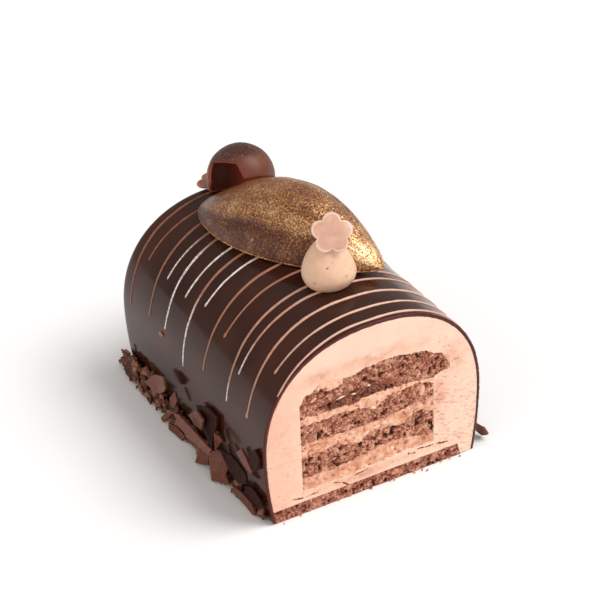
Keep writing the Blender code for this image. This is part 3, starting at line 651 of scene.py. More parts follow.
def line_finish():
    """Piped milk chocolate: satin beads from brown to pinkish, with a painted silvery highlight where they set
    glossy.
    """
    finish, tree, place = new_finish("milk chocolate, piped bead")
    pale = add(tree, "Attribute", attribute_name="tone").outputs["Fac"]
    frost = add(tree, "Attribute", attribute_name="frost").outputs["Fac"]
    streak = add(tree, "TexNoise", {"Vector": place, "Scale": 1 / 1.1, "Detail": 3, "Roughness": 0.7})
    mixed = add(tree, "Math", {0: streak.outputs[0], 1: 0.5, 2: pale}, operation="MULTIPLY_ADD").outputs[0]
    colour = add(tree, "ValToRGB", {"Fac": mixed}, stops=[
        (0.15, "#75432F"), (1.0, "#E0B3A0"), (0.6, "#AE7A62")])
    # painted highlight: streaks of near-white mixed in along the glossy stretches
    bright = add(tree, "MapRange", {"Value": streak.outputs[0], 1: 0.4, 2: 0.62, 3: 0.35, 4: 1.0})
    shine = add(tree, "Math", {0: bright.outputs[0], 1: frost}, operation="MULTIPLY").outputs[0]
    shown = add(tree, "Mix", {0: shine, 6: colour.outputs[0], 7: linear("#F4EEEA")}, data_type="RGBA")
    bump = add(tree, "Bump", {"Height": streak.outputs[0], "Strength": 0.2, "Distance": 0.2 * MM})
    close_finish(tree, add(tree, "BsdfPrincipled", {
        "Base Color": shown.outputs[2], "Normal": bump.outputs[0], "Roughness": 0.32, "IOR": 1.47}))
    return finish


beads, tones, frosts = [], [], []
for k, (top, end, left, blob, pale, frost_from, frost_to) in enumerate(LINES):
    bead, s = piped_line(top, end, left, blob, 90 + 3 * k)
    beads.append(bead)
    tones.append(pale * 0.6 + 0.4 * pale * ease(s, 60, 100))
    # where the painted highlight lies along each line
    painted_shine_span = ease(s, frost_from - 2, frost_from + 2) * (1 - ease(s, frost_to - 8, frost_to + 4))
    frosts.append(painted_shine_span * (frost_to > 0))
# one stray drop beside the lines
drop_rows, drop_turn = np.meshgrid(np.linspace(0, math.pi, 12)[1:-1],
                                   np.linspace(0, 2 * math.pi, 20, endpoint=False), indexing="ij")
drop = np.stack([0.7 * np.cos(drop_rows), 1.6 * np.sin(drop_rows) * np.cos(drop_turn),
                 1.0 * np.sin(drop_rows) * np.sin(drop_turn)], -1)
beads.append(skin(drop + [-44.7, 81.5 + FRONT, 36.8]))
tones.append(np.full(len(beads[-1][0]), 0.1))
frosts.append(np.zeros(len(beads[-1][0])))
add_piece("piped_lines", joined(beads), line_finish(), "milk_chocolate",
          tone=np.concatenate(tones), frost=np.concatenate(frosts))


# ---- cocoa pod ------------------------------------------------------------------------------
# A cocoa pod half moulded in dark chocolate, with soft lengthwise ribs and a thin flat rim, and
# brushed with gold lustre powder. It lies on the crest with its stalk end to the rear.

POD_REAR, POD_TIP = np.array([-11.8, 46.2, 72.0]), np.array([20.9, -31.7, 72.0])
POD_HALF_WIDTH, POD_HEIGHT = 19.3, 22.2
POD_GROOVES = [(30, 0.046, 6.5), (60, 0.028, 6.0), (90, 0.012, 7.0), (120, 0.032, 5.5), (150, 0.046, 6.0)]
PITS = [(0.47, 66, 0.8), (0.49, 70, 0.6), (0.51, 64, 0.7), (0.45, 62, 0.5), (0.53, 68, 0.5), (0.42, 33, 0.7),
        (0.40, 30, 0.5), (0.56, 61, 0.4), (0.62, 116, 0.6), (0.38, 92, 0.4)]      # t, degrees, radius in mm


def pod_grooves(turn):
    """Depth of the grooves between the ribs as a share of the radius: bell curves round the pod."""
    angle = np.degrees(turn)
    return sum(deep * np.exp(-((angle - at) / spread) ** 2) for at, deep, spread in POD_GROOVES)


def pod_point(t, turn, grow=0.0):
    """A point of the pod: t from rear to tip, turn round it from its left edge over the top.

    half width = 19.3 sin(pi t^0.83)^0.62 and height = 22.2 sin(pi t^1.01)^0.84 (1 - 0.14
    e^-(t/0.45)^2), both drawn in by the grooves, which fade out towards the tip.
    """
    along = POD_TIP - POD_REAR
    heading = along / np.linalg.norm(along)
    sideways = np.array([heading[1], -heading[0], 0.0])
    keep = 1 - pod_grooves(turn) * (1 - 0.6 * ease(t, 0.75, 0.98))
    wide = (POD_HALF_WIDTH * np.sin(math.pi * t ** 0.83) ** 0.62 + grow) * keep
    high = POD_HEIGHT * np.sin(math.pi * t ** 1.01) ** 0.84 * (1 - 0.14 * np.exp(-(t / 0.45) ** 2))
    high = (high + grow) * keep
    return (POD_REAR + along * t[..., None] + sideways * (wide * np.cos(turn))[..., None]
            + np.array([0, 0, 1.0]) * (high * np.sin(turn) + 0.55)[..., None])


def pod_finish():
    """Moulded dark chocolate under gold lustre powder: brown, unevenly dusted, with metal glints; its tone also
    carries painted shade and painted light.

    The powder's grains are far too fine to show, so they are drawn as coarse as 0.75 mm.
    """
    finish, tree, place = new_finish("dark chocolate brushed with gold lustre")
    dust = add(tree, "TexNoise", {"Vector": place, "Scale": 1 / 8.0, "Detail": 4, "Roughness": 0.65})
    speck = add(tree, "TexNoise", {"Vector": place, "Scale": 1 / 0.75, "Detail": 3, "Roughness": 0.85})
    glint = add(tree, "TexVoronoi", {"Vector": place, "Scale": 1 / 0.55, "Randomness": 1.0})
    tone = add(tree, "Attribute", attribute_name="tone").outputs["Fac"]
    amount = add(tree, "Math", {0: dust.outputs[0], 1: 1.5, 2: tone}, operation="MULTIPLY_ADD").outputs[0]
    amount = add(tree, "Math", {0: speck.outputs[0], 1: 4.4, 2: amount}, operation="MULTIPLY_ADD").outputs[0]
    amount = add(tree, "MapRange", {"Value": amount, 1: 2.2, 2: 3.8, 3: 0.0, 4: 1.0}).outputs[0]
    colour = add(tree, "ValToRGB", {"Fac": amount}, stops=[
        (0.0, "#45241A"), (1.0, "#FBDDAE"), (0.35, "#70432C"), (0.65, "#B57C49")])
    metal = add(tree, "MapRange", {"Value": amount, 1: 0.35, 2: 0.8, 3: 0.0, 4: 0.8}).outputs[0]
    bump = add(tree, "Bump", {"Height": speck.outputs[0], "Strength": 0.7, "Distance": 0.25 * MM})
    bump = add(tree, "Bump", {"Height": glint.outputs["Color"], "Strength": 0.35, "Distance": 0.2 * MM,
                              "Normal": bump.outputs[0]})
    close_finish(tree, add(tree, "BsdfPrincipled", {
        "Base Color": colour.outputs[0], "Metallic": metal, "Roughness": 0.32, "Normal": bump.outputs[0],
        "IOR": 1.4}))
    return finish


rows, around = 230, 260
t = (1 - np.cos(np.linspace(0, math.pi, rows + 2)[1:-1])) / 2
turn = np.linspace(0, math.pi, around)
t, turn = np.meshgrid(t, turn, indexing="ij")
body = pod_point(t, turn)
dent = np.zeros(t.shape)
for pit_t, pit_turn, size in PITS:
    away = np.linalg.norm(body - pod_point(np.array(pit_t), np.array(math.radians(pit_turn))), axis=-1)
    away = away + 0.25 * lumps(body.reshape(-1, 3), 0.9, 140).reshape(t.shape)
    dent = np.maximum(dent, 0.55 * size * (1 - ease(away, 0.1 * size, 1.15 * size)))
axis_point = POD_REAR + (POD_TIP - POD_REAR) * t[..., None]
inward = axis_point - body
inward /= np.linalg.norm(inward, axis=-1)[..., None]
surface = lumps(body.reshape(-1, 3), 5.0, 141, 3).reshape(t.shape)
body = body + inward * (dent + 0.10 * surface)[..., None]
# a thin flat lip runs round the foot of the pod, a quarter of a millimetre proud of it
LIP_PROUD, LIP_LOW, LIP_HIGH = 0.25, 72.02, 72.5
near_lip, far_lip = (pod_point(t[:, :1], turn[:, :1] * 0 + angle, LIP_PROUD) for angle in (0, math.pi))
near_low, near_high, far_high, far_low = (
    lip * [1, 1, 0] + [0, 0, level]
    for lip, level in ((near_lip, LIP_LOW), (near_lip, LIP_HIGH), (far_lip, LIP_HIGH), (far_lip, LIP_LOW)))
rings = np.concatenate([near_low, near_high, body, far_high, far_low], axis=1)
shape = skin(rings, POD_REAR + [0, 0, 0.3], POD_TIP + [0, 0, 0.3])
# tone of the dust: darker in the grooves, in the pits, low on the left side, in a patch there near the middle
# and at the rear end under the dome, all painted shade; lighter over the top as a painted reflection of the sky
# and towards the tip as a painted highlight; more gold in a band along the left side
painted_groove_shade = pod_grooves(turn) / 0.05
painted_sky_reflection = ease(np.degrees(turn), 70, 115)                  # painted reflection of the sky: the top made lighter
gold_band = np.exp(-((np.degrees(turn) - 48) / 26) ** 2) * ease(t, 0.1, 0.35)
lower = 1 - ease(np.degrees(turn), 18, 40)
tone = (-0.12 - 0.3 * painted_groove_shade + 0.2 * painted_sky_reflection + 0.35 * gold_band - 0.35 * lower - 0.6 * dent
        - 0.4 * (1 - ease(t, 0.0, 0.16)) + 0.35 * ease(t, 0.72, 0.9))
tone = tone - 0.3 * np.exp(-((t - 0.4) / 0.09) ** 2 - ((np.degrees(turn) - 33) / 14) ** 2)
lip = np.full((rows, 1), 0.3)
add_piece("cocoa_pod_half", shape, pod_finish(), "pod_chocolate", ["cocoa_pod"],
          tone=np.append(np.concatenate([lip, lip, tone, lip, lip], axis=1).ravel(), [0.0, 0.2]))


# ---- hollow chocolate dome ------------------------------------------------------------------
# A thin half shell moulded in dark chocolate, tipped over on the pod's rear. Its near lower left
# is broken open, so the dark hollow and the thin broken edge show; the edge and the inner wall carry a painted
# reddish glow of light shining through.

DOME_CENTRE, DOME_RADIUS, DOME_SKIRT = np.array([2.0, 41.2, 81.8]), 13.1, 2.7
DOME_AXIS = np.array([0.131, 0.587, 0.799]) / np.linalg.norm([0.131, 0.587, 0.799])
DOME_RIGHT, DOME_WALL = np.array([0.917, -0.386, 0.133]), 1.1
# the broken window's corners, mm to the right and up in the dome's own frame
WINDOW = [(-12.75, -2.9), (-12.3, -0.4), (-9.4, 7.2), (-5.0, 5.6), (-0.4, 3.8), (0.5, -0.2), (1.1, -2.9)]


def dome_border(count):
    """Azimuth and polar angle of the shell's edge: round the rim, and round the broken window."""
    right = DOME_RIGHT - DOME_AXIS * (DOME_RIGHT @ DOME_AXIS)
    rim = math.acos(-DOME_SKIRT / DOME_RADIUS)
    corners = [(-85.0, rim)]
    corners += [(angle, rim) for angle in np.linspace(-84, 188, 60)]
    for x, z in WINDOW:
        polar = math.acos(max(z, -DOME_SKIRT) / DOME_RADIUS)
        flat = math.sqrt(max(DOME_RADIUS ** 2 - x * x - z * z, 0.0))
        corners.append((math.degrees(math.atan2(-flat, x)) % 360, polar))
    return evenly(np.array(corners) * [1, 50], count) / [1, 50], right


def dome_finish():
    """Moulded dark chocolate: brown and glossy, with fine painted sparkle highlights on its upper band and a
    painted reddish glow of light shining through the shell at the break.
    """
    finish, tree, place = new_finish("dark chocolate, moulded thin")
    tone = add(tree, "Attribute", attribute_name="tone").outputs["Fac"]
    band = add(tree, "Attribute", attribute_name="glints").outputs["Fac"]
    cloud = add(tree, "TexNoise", {"Vector": place, "Scale": 1 / 5.0, "Detail": 3})
    grit = add(tree, "TexNoise", {"Vector": place, "Scale": 1 / 0.5, "Detail": 3, "Roughness": 0.8})
    mixed = add(tree, "Math", {0: cloud.outputs[0], 1: 0.4, 2: tone}, operation="MULTIPLY_ADD").outputs[0]
    colour = add(tree, "ValToRGB", {"Fac": mixed}, stops=[
        (0.1, "#2E120C"), (1.0, "#7E4630"), (0.45, "#532719")])
    # painted glow: reddish light shining through the thin shell, on the broken edge and the inner wall
    thin = add(tree, "Attribute", attribute_name="thin").outputs["Fac"]
    shown = add(tree, "Mix", {0: thin, 6: colour.outputs[0], 7: linear("#CE5F3D")}, data_type="RGBA")
    # painted highlights: pale sparkles where the grit noise peaks in the upper band
    painted_sparkle_mix = add(tree, "MapRange", {"Value": grit.outputs[0], 1: 0.6, 2: 0.7, 3: 0.0, 4: 1.0}).outputs[0]
    painted_sparkle_mix = add(tree, "Math", {0: painted_sparkle_mix, 1: band}, operation="MULTIPLY").outputs[0]
    shown = add(tree, "Mix", {0: painted_sparkle_mix, 6: shown.outputs[2], 7: linear("#E3C2AE")}, data_type="RGBA")
    depth = add(tree, "Math", {0: grit.outputs[0], 1: band}, operation="MULTIPLY").outputs[0]
    bump = add(tree, "Bump", {"Height": depth, "Strength": 1.0, "Distance": 0.7 * MM})
    close_finish(tree, add(tree, "BsdfPrincipled", {
        "Base Color": shown.outputs[2], "Normal": bump.outputs[0], "Roughness": 0.45, "IOR": 1.38,
        "Subsurface Weight": 0.08, "Subsurface Radius": (0.003, 0.0008, 0.0004), "Subsurface Scale": 0.5}))
    return finish


border, dome_right = dome_border(420)
dome_right /= np.linalg.norm(dome_right)
dome_away = np.cross(DOME_AXIS, dome_right)
azimuth_even = np.linspace(-85, 275, 420, endpoint=False)
share = np.linspace(0, 1, 62)[1:, None]
azimuth = np.radians(azimuth_even + (border[:, 0] - azimuth_even) * share ** 3)
polar = border[:, 1] * share
ball = np.stack([np.sin(polar) * np.cos(azimuth), np.sin(polar) * np.sin(azimuth), np.cos(polar)], -1)
sheets = [radius * ball for radius in (DOME_RADIUS, DOME_RADIUS - DOME_WALL / 2, DOME_RADIUS - DOME_WALL)]
# the broken edge is rounded: its middle stands a little proud of the inner and outer sheets
onward = sheets[1][-1] - sheets[1][-2]
edge_mid = sheets[1][-1] + 0.35 * onward / np.linalg.norm(onward, axis=1)[:, None]
local = np.concatenate([sheets[0], edge_mid[None], sheets[2][::-1]])
flat = local.reshape(-1, 3)
wave = 1 + 0.006 * lumps(flat, 4.0, 150, 2)
flat = flat * wave[:, None]
world = flat[:, :1] * dome_right + flat[:, 1:2] * dome_away + flat[:, 2:] * DOME_AXIS + DOME_CENTRE
apex = [DOME_AXIS * r + DOME_CENTRE for r in (DOME_RADIUS, DOME_RADIUS - DOME_WALL)]
shape = skin(world.reshape(local.shape), *apex)
inside = (np.arange(local.shape[0]) > len(sheets[0]))[:, None] * np.ones(local.shape[1])
height = local[..., 2] / DOME_RADIUS
near = ease(-local[..., 1], -2, 8)
# outside: lighter on the near, lower part and darker higher up, as painted light and painted shade
tone = np.where(inside > 0, 0.6, 0.14 + 0.4 * near * (1 - ease(height, 0.25, 0.7)))
tone[len(sheets[0])] = 0.55
# the upper band that carries the painted sparkle highlights and the grit bump
glints = np.where(inside > 0, 0.0, ease(height, 0.3, 0.62))
# where the painted glow of light through the shell lies: on the inner wall to the right, and on the broken edge
thin = np.where(inside > 0, 0.9 * ease(local[..., 0], -6.0, 2.5), 0.0)
thin[len(sheets[0])] = 0.6
add_piece("chocolate_dome_shell", shape, dome_finish(), "dark_chocolate", ["chocolate_dome"],
          tone=np.append(tone.ravel(), [0.25, 0.0]), glints=np.append(glints.ravel(), [1.0, 0.0]),
          thin=np.append(thin.ravel(), [0.0, 0.0]))


# ---- piped cream dollop ---------------------------------------------------------------------
# A drop of whipped coffee cream piped with a plain nozzle on the crest in front of the pod. It
# slumped a little, has a few burst bubbles, and holds the front flower on its tip.

DOLLOP_AT, DOLLOP_RADIUS, DOLLOP_WAIST, DOLLOP_HEIGHT = np.array([0.7, -27.8]), 9.8, 5.0, 19.8


def crest_height(x):
    """Height of the glaze at distance x from the middle of the log."""
    return SPRING + RISE * (1 - np.minimum(np.abs(x) / HALF_WIDTH, 1) ** POWER) ** (1 / POWER)


def dollop_finish():
    """Whipped cream with coffee: matt, pale tan, softly translucent."""
    finish, tree, place = new_finish("whipped coffee cream, piped")
    tone = add(tree, "Attribute", attribute_name="tone").outputs["Fac"]
    soft = add(tree, "TexNoise", {"Vector": place, "Scale": 1 / 3.5, "Detail": 4})
    fine = add(tree, "TexNoise", {"Vector": place, "Scale": 1 / 0.5, "Detail": 2})
    mixed = add(tree, "Math", {0: soft.outputs[0], 1: 0.35, 2: tone}, operation="MULTIPLY_ADD").outputs[0]
    colour = add(tree, "ValToRGB", {"Fac": mixed}, stops=[
        (0.1, "#EDC6A9"), (1.0, "#7A4A33"), (0.4, "#DBAE8D")])
    bump = add(tree, "Bump", {"Height": fine.outputs[0], "Strength": 0.15, "Distance": 0.15 * MM})
    close_finish(tree, add(tree, "BsdfPrincipled", {
        "Base Color": colour.outputs[0], "Normal": bump.outputs[0], "Roughness": 0.5, "IOR": 1.43,
        "Subsurface Weight": 0.2, "Subsurface Radius": (0.004, 0.0025, 0.0015), "Subsurface Scale": 0.5}))
    return finish


# up to its waist the drop bulges like part of a ball, and above it it is a rounded cone
FOOT_SHRINK, TAPER, ROUND = 0.41, 1.5, 0.7
level, turn = np.meshgrid(np.sin(np.linspace(0.0, math.pi / 2, 90)[:-1]),
                          np.linspace(0, 2 * math.pi, 150, endpoint=False), indexing="ij")
level = level * DOLLOP_HEIGHT
below = DOLLOP_RADIUS * np.sqrt(1 - FOOT_SHRINK * (1 - np.minimum(level, DOLLOP_WAIST) / DOLLOP_WAIST) ** 2)
past_waist = np.clip(level - DOLLOP_WAIST, 0, None) / (DOLLOP_HEIGHT - DOLLOP_WAIST)
above = DOLLOP_RADIUS * (1 - past_waist ** TAPER) ** ROUND
radius = np.where(level < DOLLOP_WAIST, below, above)
radius *= 1 + 0.012 * np.cos(2 * turn + 0.6) + 0.012 * np.sin(level / DOLLOP_HEIGHT * 9 + turn)
body = np.stack([DOLLOP_AT[0] + radius * np.cos(turn), DOLLOP_AT[1] + radius * np.sin(turn), level], -1)
body[..., 2] += 0.06 + crest_height(body[..., 0]) * (1 - ease(level, 0, 12)) + 71.4 * ease(level, 0, 12)
flat = body.reshape(-1, 3)
BUBBLES = [                             # burst bubbles: degrees round the drop, height and size in mm
    (-122, 83.0, 0.42), (-78, 78.0, 0.3), (-60, 79.5, 0.3), (-150, 76.0, 0.35), (-95, 74.5, 0.3),
    (-40, 77.0, 0.35), (30, 80.0, 0.4), (110, 79.0, 0.35), (-108, 86.0, 0.25),
]
MIDDLE, REACH = 78.0, 10.0              # height of the drop's middle and about its radius, mm
centre = np.array([*DOLLOP_AT, MIDDLE])
outwards = (flat - centre) / np.linalg.norm(flat - centre, axis=1)[:, None]
dents = np.zeros(len(flat))
for angle, height, size in BUBBLES:
    aim = np.array([math.cos(math.radians(angle)), math.sin(math.radians(angle)), (height - MIDDLE) / REACH])
    aim /= np.linalg.norm(aim)
    away = np.linalg.norm(outwards - aim, axis=1) * REACH
    dents = np.maximum(dents, size * (1 - ease(away, 0.3 * size, 1.5 * size)))
flat = flat - outwards * (1.3 * dents + 0.07 * lumps(flat, 2.4, 160, 3))[:, None]
shape = skin(flat.reshape(body.shape), np.array([*DOLLOP_AT, 71.5]))
# the burst bubbles are darkened: painted shade in them
add_piece("cream_dollop_drop", shape, dollop_finish(), "piped_cream", ["cream_dollop"],
          tone=np.append(2.0 * dents, [0, 0]))


# ---- chocolate flowers ----------------------------------------------------------------------
# Two five-lobed plaques punched from a sheet of pinkish milk chocolate, with a fine raised line
# left by the punch along the edge. One leans on the dollop, one lies on the glaze behind the dome.

LOBE_REACH, LOBE_RADIUS, FLOWER_THICK, LOBES = 4.3, 3.3, 0.9, 5


def flower_shape(place, facing, spin, curl, seed, around=300):
    """Rings from the middle of the front to its rim, over the rounded edge, and back behind.

    A lobe's rim is r(a) = d cos a + sqrt(q^2 - d^2 sin^2 a), with a from the lobe's axis; outer
    parts bend back by curl times the square of the distance past 3.5 mm.
    """
    z = np.array(facing) / np.linalg.norm(facing)
    x = np.array([1.0, 0, 0]) - z * z[0]
    x /= np.linalg.norm(x)
    y = np.cross(z, x)
    turn = np.linspace(0, 2 * math.pi, around, endpoint=False)
    lobe = 2 * math.pi / LOBES
    off = (turn + lobe / 2) % lobe - lobe / 2
    rim = LOBE_REACH * np.cos(off) + np.sqrt(LOBE_RADIUS ** 2 - (LOBE_REACH * np.sin(off)) ** 2)
    rim = rim + 0.12 * lumps(np.stack([5 * np.cos(turn), 5 * np.sin(turn), 0 * turn], -1), 2.2, seed, 2)
    rings, marks = [], []
    half = FLOWER_THICK / 2
    front_rings = [(s, half, 0.0) for s in np.linspace(0.06, 0.86, 16)]
    front_rings += [(0.90, half + 0.03, 0.3), (0.935, half + 0.08, 0.45), (0.97, half + 0.02, 0.5),
                    (0.99, 0.5 * half, 0.5)]
    back_rings = [(1.0, 0.0, 0.5), (0.99, -0.5 * half, 0.3), (0.97, -half, 0.2)]
    back_rings += [(s, -half, 0.0) for s in np.linspace(0.9, 0.06, 12)]
    for share, height, mark in front_rings + back_rings:
        radius = rim * share
        px, py = radius * np.cos(turn + spin), radius * np.sin(turn + spin)
        bent = 0 * px + height
        for angle, bend in curl:
            bent -= bend * np.clip(px * math.cos(angle) + py * math.sin(angle) - 3.5, 0, None) ** 2
        rings.append(np.array(place) + px[:, None] * x + py[:, None] * y + bent[:, None] * z)
        marks.append(np.full(around, mark))
    rings = np.array(rings)
    wavy = 0.05 * lumps(rings.reshape(-1, 3), 2.5, seed + 1, 2).reshape(rings.shape[:2])
    return skin(rings + wavy[..., None] * z), np.append(np.array(marks).ravel(), [0, 0])


def flower_finish(name, dark, middle, light):
    """Punched milk chocolate sheet: satin, flat pink-brown, its raised edge paler."""
    finish, tree, place = new_finish(name)
    tone = add(tree, "Attribute", attribute_name="tone").outputs["Fac"]
    cloud = add(tree, "TexNoise", {"Vector": place, "Scale": 1 / 2.2, "Detail": 4, "Roughness": 0.6})
    mixed = add(tree, "Math", {0: cloud.outputs[0], 1: 0.5, 2: tone}, operation="MULTIPLY_ADD").outputs[0]
    colour = add(tree, "ValToRGB", {"Fac": mixed}, stops=[(0.05, dark), (0.733, light), (0.3, middle)])
    bump = add(tree, "Bump", {"Height": cloud.outputs[0], "Strength": 0.15, "Distance": 0.2 * MM})
    close_finish(tree, add(tree, "BsdfPrincipled", {
        "Base Color": colour.outputs[0], "Normal": bump.outputs[0], "Roughness": 0.36, "IOR": 1.47}))
    return finish


shape, marks = flower_shape((0.9, -30.9, 93.2), (-0.393, -0.742, 0.544), math.radians(0.5),
                            [(math.radians(80), 0.10), (math.radians(10), 0.09)], 170)
pink_sheet = flower_finish("pink-brown chocolate, punched", "#C6907B", "#D8AB96", "#EAC6B3")
add_piece("flower_front_plaque", shape, pink_sheet, "milk_chocolate", ["flower_front"], tone=marks)
shape, marks = flower_shape((-0.9, 58.1, 72.45), (0.0, 0.0, 1.0), math.radians(25), [], 175)
# the rear plaque gets a darker copy of the pink finish: painted shade for its place behind the dome
shaded_pink_sheet = flower_finish("pink-brown chocolate in painted shade, punched", "#6B3D2C", "#875340", "#A8745C")
add_piece("flower_rear_plaque", shape, shaded_pink_sheet, "milk_chocolate", ["flower_rear"], tone=marks)


# ---- chocolate shards -----------------------------------------------------------------------
# Thin splinters of broken chocolate sheet pressed to the glaze along both feet of the log, dark
# and milk by turns. Their breaks are straight and sharp; some splinters are curled.

SHARD_THICK = 1.0
# y, z, yaw, lean, stand off and bend in mm and degrees, then the corners: mm along, mm up
LEFT_SHARDS = [
    (17.8, 17.9, 0, 8, 3.0, 1.6, [(9.5, -4), (3.5, 2.5), (-4, 5.5), (-7.5, 3), (-4.5, -1), (2.5, -5.5)]),
    (8.7, 15.3, 20, 6, 1.5, 0.3, [(2, 0.5), (-0.5, 4.5), (-2, 1), (-0.5, -3), (1.5, -3)]),
    (-12.9, 19.9, -5, 6, 2.2, 0.2, [(8, -2.5), (0.5, 4), (-6, 4), (-4.5, -1.5), (2, -3.5)]),
    (-14.6, 16.4, 4, 13, 5.4, 0.3,
     [(13, 1.5), (9.5, 2.5), (-4, 1.5), (-14, 1), (-13.5, -2), (0.5, -3), (8.5, -2)]),
    (-20, 21.9, 0, 4, 0.2, 0.6, [(10, 2.5), (1, 6.5), (-6.5, 7), (-6, 3), (-3, -4), (-2, -10), (7, -5.5)]),
    (7.1, 2.2, 10, 20, 3.8, 0.3, [(5.5, 1), (0, 1.5), (-5.5, 0.5), (-4.5, -2), (4.5, -1.5)]),
    (-14.9, 4.1, 22, 14, 2.4, 0.2, [(2, 3.5), (-2.5, 2.5), (-3, -2.5), (3.5, -4)]),
    (-28, 8.0, 24, 10, 0.5, 0.2,
     [(6, 2.5), (2.5, 6.5), (-1.5, 5), (-4, 2.5), (-2.5, -2.5), (-4.5, -6), (4, -8)]),
    (-27.1, 18.8, 25, 8, 0.6, 0.2, [(2, 3), (-1, 2), (-2, 1), (-0.5, -1), (1.5, -5)]),
    (-40.7, 14.8, 3, 8, 1.0, 0.8, [(11.5, 2.5), (3.5, 4), (-7, 2.5), (-9, -1), (-3, -4.5), (3.5, -3.5)]),
    (-47.7, 22.8, 6, 6, 0.4, 0.3, [(5.5, 1), (2.5, 4), (-0.5, 2), (-4.5, -1.5), (-4, -3), (1, -2)]),
    (-54.8, 28, 0, 3, 0.1, 0.3, [(4, 0.5), (-0.5, 5), (-3.5, 3), (-3.5, -0.5), (0, -5.5), (3.5, -3)]),
    (-44.4, 2.6, 4, 8, 1.7, 0.3,
     [(9, -1), (7, 2), (1, 2), (-4.5, 1.5), (-8.5, -1.5), (-6, -2.5), (2, -1.5)]),
    (-51.8, 8.8, 0, 6, 0.3, 0.5, [(7.5, 0.5), (3, 3), (-4.5, 2), (-7, 0), (-4, -3), (5.5, -2.5)]),
]
RIGHT_SHARDS = [
    (-55, 3.4, 20, 20, 3.6, 0.3, [(3, -2), (2, 3), (-2, 2.5), (-3, -1), (0, -3)]),
    (-42, 12.5, -6, 6, 0.6, 0.8, [(7.5, -3), (5, 5), (-3, 6.5), (-8, 1), (-4, -6)]),
    (-24, 14.0, 6, 6, 0.6, 0.5, [(8, 2), (1, 7.5), (-7, 5), (-7.5, -4), (2, -7)]),
    (-4, 8.5, -8, 16, 4.0, 1.4, [(7.5, 1), (2, 5.5), (-6, 3.5), (-7, -3.5), (1, -5.5)]),
    (14, 13.5, 10, 6, 0.6, 0.6, [(5.5, -4), (6, 4), (-1, 8), (-6.5, 1), (-3, -7)]),
    (32, 12.0, -5, 9, 1.6, 1.8, [(7, 0), (3, 5), (-5, 4), (-6.5, -2), (0, -5)]),
]
LEFT_MILK, RIGHT_MILK = (1, 2, 3, 4, 6, 7, 8, 9, 11, 13), (1, 3, 5)    # the milk chocolate shards


def spun(axis, angle):
    """The turn by an angle about the x, y or z axis, as a matrix."""
    c, s = math.cos(angle), math.sin(angle)
    a, b = [(1, 2), (2, 0), (0, 1)]["xyz".index(axis)]
    turn = np.eye(3)
    turn[a, a], turn[a, b], turn[b, a], turn[b, b] = c, -s, s, c
    return turn


def shard_shape(side, spec, seed):
    """A flat splinter inside a broken outline, curled outwards by bend (u / half length)^2.

    Rings run from the middle of one face to its edge, across the rough break, and back.
    """
    y, z, yaw, lean, stand_off, bend, corners = spec
    tilt = spun("z", math.radians(yaw)) @ spun("y", math.radians(-side * lean))
    outline = evenly(np.array(corners, float), 20 * len(corners), closed=True)
    half_length = np.abs(np.array(corners)[:, 0]).max()
    jag = lumps(np.insert(outline, 0, 0, axis=1), 1.3, seed, 3)
    outline = outline * (1 - 0.035 * np.abs(jag))[:, None]
    half = SHARD_THICK / 2
    rings = [(s, -half) for s in np.linspace(0.08, 0.97, 9)]
    rings += [(1.0, -0.6 * half), (0.98, 0.1), (1.0, 0.6 * half)]
    rings += [(s, half) for s in np.linspace(0.97, 0.08, 9)]
    points = []
    for share, offset in rings:
        u, v = (outline * share).T
        curl = bend * (u / half_length) ** 2
        points.append(np.stack([side * (offset + curl), u, v], -1))
    points = np.array(points)
    uneven = 0.05 * lumps(points.reshape(-1, 3), 1.8, seed + 1, 2).reshape(points.shape[:2])
    points[..., 0] += uneven
    points = points @ tilt.T
    lift = max(z, 0.1 - points[..., 2].min())
    push = (side_x(points[..., 2] + lift) + 0.2 - side * points[..., 0]).max()
    return skin(points + [side * (push + stand_off), y, lift])


def shard_finish(name, dark, light, roughness, sheen):
    """Broken chocolate sheet: satin faces with fine scratches, duller and paler at the breaks."""
    finish, tree, place = new_finish(name)
    cloud = add(tree, "TexNoise", {"Vector": place, "Scale": 1 / 3.0, "Detail": 5, "Roughness": 0.65})
    drawn = add(tree, "Mapping", {"Vector": place, "Scale": (1, 0.25, 1)}).outputs[0]
    scratch = add(tree, "TexNoise", {"Vector": drawn, "Scale": 1 / 0.5, "Detail": 2})
    edge = add(tree, "NewGeometry").outputs["Pointiness"]
    worn = add(tree, "MapRange", {"Value": edge, 1: 0.52, 2: 0.62, 3: 0.0, 4: 0.5}).outputs[0]
    mixed = add(tree, "Math", {0: cloud.outputs[0], 1: worn}, operation="ADD").outputs[0]
    colour = add(tree, "ValToRGB", {"Fac": mixed}, stops=[(0.3, dark), (0.8, light)])
    bump = add(tree, "Bump", {"Height": scratch.outputs[0], "Strength": 0.25, "Distance": 0.2 * MM})
    close_finish(tree, add(tree, "BsdfPrincipled", {
        "Base Color": colour.outputs[0], "Normal": bump.outputs[0], "Roughness": roughness, "IOR": sheen}))
    return finish


dark_shard = shard_finish("dark chocolate sheet, broken", "#1E0A06", "#3E1A11", 0.5, 1.16)
milk_shard = shard_finish("milk chocolate sheet, broken", "#5A2A1C", "#7E4734", 0.4, 1.4)
for side, label, specs, milk in ((-1, "left", LEFT_SHARDS, LEFT_MILK),
                                 (1, "right", RIGHT_SHARDS, RIGHT_MILK)):
    for k, spec in enumerate(specs):
        node = f"shard_{label}_{k + 1:02d}"
        add_piece(node + "_splinter", shard_shape(side, spec, 40 * (side + 2) + k),
                  milk_shard if k + 1 in milk else dark_shard, "shavings", [node], smooth=False)


# ---- chocolate shavings ---------------------------------------------------------------------
# Fine flakes and curls scraped from a chocolate block and heaped along both feet of the log. The
# flakes lie over a smaller heap, coloured almost black as painted shade between them, and lean on the glaze.

